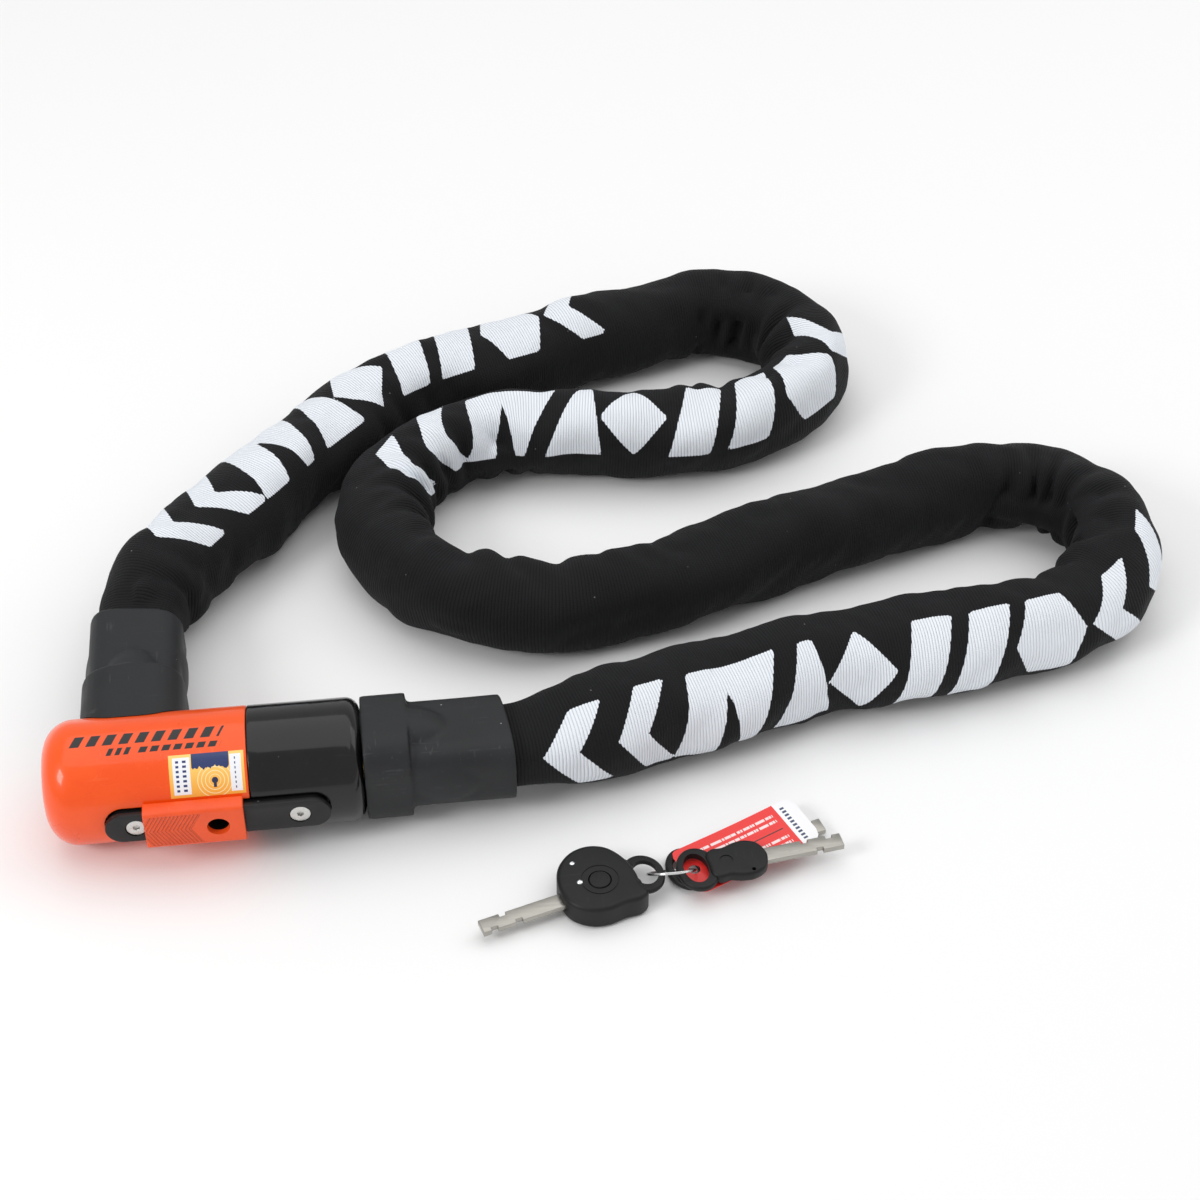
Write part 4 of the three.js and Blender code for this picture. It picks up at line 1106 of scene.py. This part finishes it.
def slider_plastic():
    """Satin orange slider with chevron ribs moulded on its grip end, and painted shade darkening the grooves between
    those ribs.
    """
    material, shader, w = new_material("slider_orange", (0.93, 0.115, 0.012), 0.46,
                                       Coat_Weight=0.12, Coat_Roughness=0.3)
    place = w.place()
    grain = w.use(GRAIN, Vector=place, Size=0.6)
    rubbed = w.use(SCUFFS, Vector=place, Amount=0.25)["Mask"]
    tone = w.mix(grain["Blotch"], (0.82, 0.074, 0.005, 1), (0.90, 0.090, 0.007, 1))
    tone = w.mix(rubbed, tone, (1.0, 0.26, 0.10, 1))
    x, y, z = w.split(place)
    along = w.math("MULTIPLY", w.math("SUBTRACT", x, BARREL_LEFT), 1000.0)
    rise = w.math("ABSOLUTE", w.math("MULTIPLY", w.math("SUBTRACT", z, AXIS_Z), 1000.0))
    bent = w.math("SUBTRACT", along, w.math("MULTIPLY", rise, 0.55))
    ridge = w.math("ABSOLUTE", w.math("SINE", w.math("MULTIPLY", bent, math.pi / 1.5)))
    zone = w.math("MULTIPLY", w.between(bent, 36.5, 56.0, 0.2), w.ramp(rise, 7.6, 8.0, 1.0, 0.0))
    facing = w.ramp(w.math("MULTIPLY", w.math("SUBTRACT", y, AXIS_Y), -1000.0), 29.5, 29.7)
    height = w.math("MULTIPLY", w.math("MULTIPLY", w.math("POWER", ridge, 1.5), zone), facing)
    # Painted shade: on the front face of the grip, the grooves between the ribs are mixed towards a darker orange.
    w.feed(shader.inputs["Base Color"],
           w.mix(w.math("MULTIPLY", w.math("MULTIPLY", zone, facing), w.ramp(ridge, 0.0, 0.45, 0.35, 0.0)),
                 tone, (0.5, 0.04, 0.004, 1)))
    w.feed(shader.inputs["Roughness"], w.ramp(grain["Blotch"], 0.0, 1.0, 0.42, 0.52))
    w.feed(shader.inputs["Normal"], w.bump(height, 0.9, 0.0006, w.bump(grain["Height"], 0.5, 0.00004)))
    return material


def add_slider():
    shape = mm_box((38.4, -30.1, 14.9), (76.4, -23.8, 34.1))
    long_front = [e for e in shape.edges if abs(e.verts[0].co.x - e.verts[1].co.x) > 0.02
                  and max(v.co.y for v in e.verts) < lay(0, -29, 0).y]
    bmesh.ops.bevel(shape, geom=long_front, offset=0.002, affect="EDGES", segments=4, profile=0.5,
                    material=-1, clamp_overlap=True)
    others = [e for e in shape.edges if e.calc_face_angle(0) > 1.2]
    bmesh.ops.bevel(shape, geom=others, offset=0.0005, affect="EDGES", segments=3, profile=0.5,
                    material=-1, clamp_overlap=True)
    piece = loose_object("dust_cover", shape)
    wide_room = loose_object("wide_room", mm_box((30, -27.9, 17.1), (80, -24.9, 31.9)))
    neck_room = loose_object("neck_room", mm_box((30, -25.0, 18.1), (80, -23, 30.9)))
    hole = bmesh.new()
    bmesh.ops.create_cone(hole, cap_ends=True, segments=64, radius1=4.5 * MM, radius2=3.9 * MM, depth=4.4 * MM)
    bmesh.ops.rotate(hole, matrix=Matrix.Rotation(-math.pi / 2, 3, "X"), verts=hole.verts)
    bmesh.ops.translate(hole, vec=lay(KEYWAY_X, -28.8, AXIS_Z / MM), verts=hole.verts)
    cut_with(piece, [wide_room, neck_room, loose_object("hole", hole)])
    piece.data.materials.clear()
    piece.data.materials.append(slider_plastic())
    piece.data.shade_smooth()
    piece.data.set_sharp_from_angle(angle=math.radians(35))
    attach(piece, "slider")
    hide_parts("dust_slider")


def label_paper():
    """Yellow label: white strips at both ends, a dark field, thin rings round a keyhole."""
    material, shader, w = new_material("label_paper", (0.9, 0.5, 0.1), 0.35, Coat_Weight=0.4, Coat_Roughness=0.15)
    u, v, _ = w.split(w.node("ShaderNodeUVMap", uv_map="label").outputs[0])
    ripple = w.noise(w.place(), 700.0, 2.0, 0.5)
    yellow = w.mix(w.ramp(v, 0.0, 1.0), (0.93, 0.42, 0.04, 1), (0.97, 0.62, 0.16, 1))
    across = w.math("MULTIPLY", w.math("SUBTRACT", u, 0.60), 29.5)
    up = w.math("MULTIPLY", w.math("SUBTRACT", v, 0.36), 17.0)
    away = w.math("SQRT", w.math("ADD", w.math("MULTIPLY", across, across), w.math("MULTIPLY", up, up)))
    rings = w.between(w.math("FRACT", w.math("DIVIDE", away, 1.5)), 0.4, 0.6, 0.08)
    rings = w.math("MULTIPLY", rings, w.between(away, 2.2, 7.5, 0.1))
    tone = w.mix(rings, yellow, (0.98, 0.8, 0.45, 1))
    skyline = w.math("ADD", 0.66, w.math("MULTIPLY", w.math(
        "SUBTRACT",
        w.noise(w.stretch(w.node("ShaderNodeUVMap", uv_map="label").outputs[0], (14, 0.1, 1)), 1.0, 2.0, 0.6),
        0.5), 0.3))
    dark = w.math("MULTIPLY", w.math("GREATER_THAN", v, skyline), w.between(u, 0.30, 0.80, 0.004))
    tone = w.mix(dark, tone, (0.012, 0.03, 0.13, 1))
    hole = w.math("LESS_THAN", away, 1.25)
    slot = w.math("MULTIPLY", w.between(across, -0.6, 0.6, 0.05), w.between(up, -2.8, 0.0, 0.05))
    tone = w.mix(w.math("MAXIMUM", hole, slot), tone, (0.012, 0.02, 0.07, 1))
    strips = w.math("MAXIMUM", w.between(u, 0.05, 0.28, 0.003), w.between(u, 0.81, 0.96, 0.003))
    inside = w.between(v, 0.07, 0.93, 0.006)
    tone = w.mix(w.math("MULTIPLY", strips, inside), tone, (0.86, 0.87, 0.90, 1))
    dashes = w.between(w.math("FRACT", w.math("MULTIPLY", v, 9.0)), 0.25, 0.75, 0.05)
    lines = w.math("MAXIMUM", w.between(u, 0.09, 0.13, 0.003),
                   w.math("MAXIMUM", w.between(u, 0.18, 0.23, 0.003), w.between(u, 0.87, 0.885, 0.002)))
    ink = w.math("MULTIPLY", w.math("MULTIPLY", lines, dashes), w.between(v, 0.1, 0.9, 0.01))
    w.feed(shader.inputs["Base Color"], w.mix(ink, tone, (0.015, 0.03, 0.14, 1)))
    w.feed(shader.inputs["Roughness"], w.ramp(ripple, 0.3, 0.7, 0.3, 0.4))
    w.feed(shader.inputs["Normal"], w.bump(ripple, 0.15, 0.00005))
    return material


def add_label():
    """A thin label bent round the front of the orange shell, above the slider."""
    x_low, x_high = 49.5, 78.0
    angle_low, angle_high = math.radians(23), math.radians(62)
    shape = bmesh.new()
    layer = shape.loops.layers.uv.new("label")
    bmesh.ops.create_grid(shape, x_segments=6, y_segments=24, size=0.5)
    for face in shape.faces:
        for loop in face.loops:
            loop[layer].uv = (loop.vert.co.x + 0.5, loop.vert.co.y + 0.5)
    made = bmesh.ops.extrude_face_region(shape, geom=shape.faces[:])
    raised = [item for item in made["geom"] if isinstance(item, bmesh.types.BMVert)]
    bmesh.ops.translate(shape, vec=(0, 0, 1), verts=raised)
    for vert in shape.verts:
        angle = angle_low + (angle_high - angle_low) * (vert.co.y + 0.5)
        radius = 24.505 + 0.09 * vert.co.z
        vert.co = lay(x_low + (x_high - x_low) * (vert.co.x + 0.5), -radius * math.cos(angle),
                      AXIS_Z / MM + radius * math.sin(angle))
    bmesh.ops.recalc_face_normals(shape, faces=shape.faces)
    put_piece("label", shape, label_paper(), "root", sharp=40)


add_covers()
add_rail()
add_slider()
add_label()


# ---------------------------------------------------------------------------------------------
# keys, ring and tag
# ---------------------------------------------------------------------------------------------
LED_HEADING, NEAR_HEADING, FAR_HEADING, TAG_HEADING = 197, 8, 16, 24
LED_THICK, PLAIN_THICK = 11, 5
LED_OUTLINE = ((4.5, 0), (5, 7), (4, 12), (8, 14.5), (14, 14), (21, 14.5), (28, 12.5), (33.5, 7), (35, 0),
               (34, -7), (30.5, -13.5), (24, -18), (16.5, -18.5), (10, -15), (6, -8))
PLAIN_OUTLINE = ((5, 0), (5, 5), (8, 7.5), (12, 7.2), (17, 8.6), (22, 8.6), (26.5, 6), (28.5, 0), (26.5, -6),
                 (22, -8.6), (17, -8.6), (12, -7.2), (8, -7.5), (5, -5))


def closed_curve(points, steps=6):
    """A smooth closed line through the given points."""
    count = len(points)
    line = []
    for i in range(count):
        a, b, c, d = (Vector((*points[(i + k - 1) % count], 0)) for k in range(4))
        for step in range(steps):
            t = step / steps
            line.append(0.5 * (2 * b + (c - a) * t + (2 * a - 5 * b + 4 * c - d) * t * t
                               + (3 * b - a - 3 * c + d) * t ** 3))
    return line


def slab(line, thick, rounding, segments):
    """A flat piece of that outline, its middle at z = 0, with its rims rounded."""
    shape = bmesh.new()
    face = shape.faces.new([shape.verts.new((p.x, p.y, -thick / 2)) for p in line])
    made = bmesh.ops.extrude_face_region(shape, geom=[face])
    raised = [item for item in made["geom"] if isinstance(item, bmesh.types.BMVert)]
    bmesh.ops.translate(shape, vec=(0, 0, thick), verts=raised)
    bmesh.ops.recalc_face_normals(shape, faces=shape.faces)
    rims = [e for e in shape.edges if abs(e.verts[0].co.z - e.verts[1].co.z) < 0.001]
    bmesh.ops.bevel(shape, geom=rims, offset=rounding, affect="EDGES", segments=segments, profile=0.5,
                    material=-1, clamp_overlap=True)
    return shape


def rod(x, y, radius, low, high, segments=48):
    shape = bmesh.new()
    bmesh.ops.create_cone(shape, cap_ends=True, segments=segments, radius1=radius, radius2=radius, depth=high - low)
    bmesh.ops.translate(shape, vec=(x, y, (low + high) / 2), verts=shape.verts)
    return shape


def loop_of(half_length, half_width, hole_length, hole_width, thick):
    """An oval eye with a hole, for the ring, and the cutter for its hole."""
    outer = [Vector((half_length * math.cos(a), half_width * math.sin(a), 0)) for a in numpy.arange(48) / 48 * math.tau]
    hole = [Vector((hole_length * math.cos(a), hole_width * math.sin(a), 0)) for a in numpy.arange(40) / 40 * math.tau]
    return slab(outer, thick, thick * 0.38, 3), slab(hole, 40, 0.01, 1)


def key_place(pivot, heading):
    return (Matrix.Translation(Vector(pivot)) @ Matrix.Rotation(math.radians(heading), 4, "Z")
            @ Matrix.Diagonal((MM, MM, MM, 1)))


def union_with(piece, others):
    for other in others:
        change = piece.modifiers.new("join", "BOOLEAN")
        change.operation = "UNION"
        change.solver = "EXACT"
        change.object = other
    apply_modifiers(piece)
    for other in others:
        bpy.data.objects.remove(other)


def finish_key_part(piece, matrix, material, body, node, sharp=38):
    piece.data.transform(matrix)
    piece.data.materials.clear()
    piece.data.materials.append(material)
    piece.data.shade_smooth()
    piece.data.set_sharp_from_angle(angle=math.radians(sharp))
    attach(piece, body)
    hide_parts(node)


def add_led_key(plastic):
    matrix = key_place(JOINTS["led_key_swivel"]["pos_m"], LED_HEADING)
    half = LED_THICK / 2
    shell = loose_object("led_key_bow", slab(closed_curve(LED_OUTLINE), LED_THICK, 3.6, 6))
    eye, hole = loop_of(8.2, 9.6, 4.9, 6.2, 2.2)
    bmesh.ops.translate(eye, vec=(0.8, 0, 0), verts=eye.verts)
    collar = slab(closed_curve(((4, -7), (7, -9), (9, 0), (7, 9), (4, 7), (3.6, 0))), 5.5, 1.2, 3)
    union_with(shell, [loose_object("eye", eye), loose_object("collar", collar)])
    well = rod(19, 0, 4.55, half - 2.5, half + 1)
    slot = box_shape((23.7, -3.6, -1.5), (40, 3.6, 1.5))
    groove = bmesh.new()
    bmesh.ops.create_cone(groove, cap_ends=True, segments=64, radius1=7.4, radius2=7.4, depth=0.5)
    bmesh.ops.translate(groove, vec=(19, 0, half), verts=groove.verts)
    core = rod(19, 0, 6.9, half - 1, half + 1)
    ring_mark = loose_object("groove", groove)
    cut_with(ring_mark, [loose_object("core", core)])
    hole_cutter = loose_object("hole", hole)
    cut_with(shell, [hole_cutter, loose_object("well", well), loose_object("slot", slot), ring_mark])
    finish_key_part(shell, matrix, plastic, "led_key", "led_key_shell")
    button = rod(19, 0, 4.15, half - 1.4, half + 0.4)
    round_edges(button, 0.5, 3, 40)
    finish_key_part(loose_object("led_button", button), matrix, plastic, "led_button", "led_key_button")
    silver, shader, w = new_material("silver_dot", (0.8, 0.82, 0.84), 0.18, 1.0)
    grain = w.use(GRAIN, Vector=w.place(), Size=0.8)
    w.feed(shader.inputs["Roughness"], w.ramp(grain["Height"], 0.3, 0.7, 0.12, 0.28))
    w.feed(shader.inputs["Base Color"], w.mix(grain["Blotch"], (0.75, 0.78, 0.8, 1), (0.86, 0.88, 0.9, 1)))
    w.feed(shader.inputs["Normal"], w.bump(grain["Height"], 0.3, 0.00003))
    for number, (x, y) in enumerate(((25.5, -12.0), (26.5, -2.0)), 1):
        dot = bmesh.new()
        bmesh.ops.create_icosphere(dot, subdivisions=3, radius=1.0)
        bmesh.ops.scale(dot, vec=(1.25, 1.25, 0.6), verts=dot.verts)
        bmesh.ops.translate(dot, vec=(x, y, half - (0.35 if number == 1 else 0.1)), verts=dot.verts)
        bmesh.ops.transform(dot, matrix=matrix, verts=dot.verts)
        put_piece(f"silver_dot_{number}", dot, silver, "led_key")


def add_plain_key(side, heading, plastic):
    matrix = key_place(JOINTS[side + "_key_swivel"]["pos_m"], heading)
    bow = loose_object(side + "_key_handle", slab(closed_curve(PLAIN_OUTLINE), PLAIN_THICK, 1.5, 4))
    eye, hole = loop_of(8.2, 10.6, 4.8, 7.4, 2.8)
    bmesh.ops.translate(eye, vec=(0.6, 0, 0), verts=eye.verts)
    union_with(bow, [loose_object("eye", eye)])
    slot = box_shape((16.2, -3.6, -1.5), (40, 3.6, 1.5))
    pit = rod(21, -7, 0.8, 0.6, 4, 24)
    dish = rod(12, 0, 2.6, PLAIN_THICK / 2 - 0.35, 5, 40)
    cut_with(bow, [loose_object("hole", hole), loose_object("slot", slot),
                   loose_object("pit", pit), loose_object("dish", dish)])
    finish_key_part(bow, matrix, plastic, side + "_key", side + "_key_bow")


def add_ring():
    """Split ring: two turns of round wire, one on the other, tilted on the floor."""
    low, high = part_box("key_ring")
    centre = (low + high) / 2
    wire, radius = 0.00036, 0.00952
    shape = bmesh.new()
    start = bmesh.ops.create_circle(shape, cap_ends=False, segments=16, radius=wire)["verts"]
    bmesh.ops.rotate(shape, matrix=Matrix.Rotation(math.pi / 2, 3, "X"), verts=start)
    bmesh.ops.translate(shape, vec=(radius, 0, -0.00034), verts=start)
    edges = list({e for v in start for e in v.link_edges})
    steps = 150
    bmesh.ops.spin(shape, geom=start + edges, cent=(0, 0, 0), axis=(0, 0, 1), dvec=(0, 0, 0.00068 / steps),
                   angle=math.tau * 1.96, steps=steps, use_merge=False)
    bmesh.ops.holes_fill(shape, edges=[e for e in shape.edges if e.is_boundary], sides=0)
    bmesh.ops.recalc_face_normals(shape, faces=shape.faces)
    bmesh.ops.rotate(shape, matrix=Matrix.Rotation(-math.pi / 4, 3, "X"), verts=shape.verts)
    bmesh.ops.translate(shape, vec=centre, verts=shape.verts)
    wire_steel = metal("ring_wire", (0.72, 0.72, 0.72), 0.16, (300, 300, 40), tarnish=0.15)
    put_piece("split_ring", shape, wire_steel, "root", ("key_ring",), 50)


def tag_card():
    """Red printed card with rows of short white dashes, a dark rule and a white end."""
    material, shader, w = new_material("tag_card", (0.78, 0.05, 0.04), 0.42, Coat_Weight=0.3, Coat_Roughness=0.2)
    u, v, _ = w.split(w.node("ShaderNodeUVMap", uv_map="card").outputs[0])
    fibre = w.noise(w.place(), 900.0, 3.0, 0.6)
    red = w.mix(fibre, (0.76, 0.018, 0.016, 1), (0.86, 0.030, 0.024, 1))
    tone = w.mix(w.math("GREATER_THAN", u, 43.5), red, (0.88, 0.88, 0.90, 1))
    words = w.math("GREATER_THAN", w.noise(
        w.stretch(w.node("ShaderNodeUVMap", uv_map="card").outputs[0], (0.9, 0.01, 1)), 1.0, 1.0, 0.5), 0.43)
    rows = w.math("MULTIPLY", w.between(w.math("FRACT", w.math("DIVIDE", v, 2.9)), 0.28, 0.72, 0.06), words)
    block = w.math("MULTIPLY", w.between(u, 7, 41, 0.1),
                   w.math("MAXIMUM", w.between(v, 2.9, 8.6, 0.05), w.between(v, -8.7, -2.9, 0.05)))
    tone = w.mix(w.math("MULTIPLY", w.math("MULTIPLY", rows, block), 0.85), tone, (0.92, 0.86, 0.86, 1))
    rule = w.math("MULTIPLY", w.between(v, -0.35, 0.2, 0.05), w.between(u, 12, 41, 0.1))
    tone = w.mix(rule, tone, (0.04, 0.01, 0.01, 1))
    end_marks = w.math("MULTIPLY", w.between(u, 45.2, 47.0, 0.05), w.between(v, -9, 9, 0.1))
    end_marks = w.math("MULTIPLY", end_marks, w.between(w.math("FRACT", w.math("DIVIDE", v, 1.9)), 0.2, 0.75, 0.05))
    tone = w.mix(end_marks, tone, (0.03, 0.05, 0.12, 1))
    w.feed(shader.inputs["Base Color"], tone)
    w.feed(shader.inputs["Roughness"], w.ramp(fibre, 0.3, 0.7, 0.36, 0.5))
    w.feed(shader.inputs["Normal"], w.bump(fibre, 0.2, 0.00004))
    return material


def add_tag():
    low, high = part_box("key_tag")
    heading = math.radians(TAG_HEADING)
    reach = Vector((math.cos(heading), math.sin(heading), 0))
    middle = (low + high) / 2 - reach * 0.024
    shape = bmesh.new()
    layer = shape.loops.layers.uv.new("card")
    bmesh.ops.create_grid(shape, x_segments=56, y_segments=24, size=0.5)
    for vert in shape.verts:
        x, y = (vert.co.x + 0.5) * 56 - 4, vert.co.y * 24
        for end, sense in ((47.0, 1), (-1.0, -1)):
            beyond = (x - end) * sense
            if beyond > 0:
                size = 5.0 if sense > 0 else 3.0
                y *= (12 - size + math.sqrt(max(size * size - beyond * beyond, 0.0))) / 12
        vert.co = (x, y, -0.17)
    for face in shape.faces:
        for loop in face.loops:
            loop[layer].uv = loop.vert.co.xy
    made = bmesh.ops.extrude_face_region(shape, geom=shape.faces[:])
    raised = [item for item in made["geom"] if isinstance(item, bmesh.types.BMVert)]
    bmesh.ops.translate(shape, vec=(0, 0, 0.34), verts=raised)
    bmesh.ops.recalc_face_normals(shape, faces=shape.faces)
    card = loose_object("card", shape)
    cut_with(card, [loose_object("hole", rod(0, 0, 2.3, -3, 3))])
    for vert in card.data.vertices:
        share = max(vert.co.x - 18, 0.0) / 34
        vert.co.z += 1.1 * share * share + 0.35 * share * math.sin(vert.co.y / 7)
    card.data.transform(Matrix.Translation(middle) @ Matrix.Rotation(heading, 4, "Z")
                        @ Matrix.Diagonal((MM, MM, MM, 1)))
    card.data.materials.clear()
    card.data.materials.append(tag_card())
    card.data.shade_smooth()
    card.data.set_sharp_from_angle(angle=math.radians(40))
    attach(card, "root")
    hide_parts("key_tag")


def add_keys():
    plastic = moulded("key_plastic", (0.006, 0.006, 0.0065), 0.5, 0.5, 0.00005, blotch=0.1, scuffs=0.35, dust=0.3,
                      Specular_IOR_Level=0.34)
    add_led_key(plastic)
    add_plain_key("near", NEAR_HEADING, plastic)
    add_plain_key("far", FAR_HEADING, plastic)
    nickel = metal("key_blade_steel", (0.42, 0.405, 0.37), 0.34, (60, 900, 900), tarnish=0.3, scuffs=0.9)
    for side in ("led", "near", "far"):
        put_softened(side + "_blade", side + "_key_blade", side + "_key", nickel, 0.28, 3, 35, 45)


add_ring()
add_tag()
add_keys()


# ---------------------------------------------------------------------------------------------
# metal inside
# ---------------------------------------------------------------------------------------------
def dress_metal():
    hard = metal("hard_steel", (0.22, 0.22, 0.23), 0.42, (400, 90, 400), tarnish=0.35, scuffs=0.6)
    brass = metal("turned_brass", (0.70, 0.50, 0.22), 0.28, (900, 40, 900), tarnish=0.3)
    zinc = metal("gold_zinc", (0.68, 0.50, 0.20), 0.3, (120, 500, 500), tarnish=0.3, scuffs=0.7)
    for name in LINK_NAMES + ["lock_body", "locking_plate", "anchor_pin"]:
        frame["nodes"][name].material_slots[0].material = hard
    for name in ("cylinder_shell", "cylinder_core"):
        frame["nodes"][name].material_slots[0].material = brass
    for name in ("end_bolt", "fixed_end_eye"):
        frame["nodes"][name].material_slots[0].material = zinc


dress_metal()


# ---------------------------------------------------------------------------------------------
# stage
# ---------------------------------------------------------------------------------------------
def add_floor():
    shape = bmesh.new()
    bmesh.ops.create_grid(shape, x_segments=1, y_segments=1, size=6)
    mesh = bpy.data.meshes.new("floor")
    shape.to_mesh(mesh)
    shape.free()
    floor = bpy.data.objects.new("floor", mesh)
    floor.location.z = -0.0002
    bpy.context.scene.collection.objects.link(floor)
    paint = bpy.data.materials.new("floor_white")
    paint.use_nodes = True
    paint.node_tree.nodes["Principled BSDF"].inputs["Base Color"].default_value = (0.9, 0.9, 0.9, 1)
    paint.node_tree.nodes["Principled BSDF"].inputs["Roughness"].default_value = 0.9
    mesh.materials.append(paint)


def add_area_light(name, place, aim, size, power):
    data = bpy.data.lights.new(name, "AREA")
    data.shape = "SQUARE"
    data.size = size
    data.energy = power
    light = bpy.data.objects.new(name, data)
    light.location = place
    light.rotation_euler = (Vector(aim) - Vector(place)).to_track_quat("-Z", "Y").to_euler()
    bpy.context.scene.collection.objects.link(light)


def add_studio():
    world = bpy.data.worlds.new("studio")
    world.use_nodes = True
    world.node_tree.nodes["Background"].inputs["Color"].default_value = (1, 1, 1, 1)
    world.node_tree.nodes["Background"].inputs["Strength"].default_value = 0.58
    bpy.context.scene.world = world
    add_area_light("top_light", (0.1, 0.3, 1.9), (0, 0, 0), 2.4, 17)
    add_area_light("left_light", (-1.2, -0.7, 1.0), (-0.1, 0, 0), 0.5, 8)
    add_area_light("right_light", (1.3, 0.1, 1.1), (0, 0, 0), 1.0, 4)
    bpy.context.scene.view_settings.view_transform = "Standard"


add_floor()
add_studio()
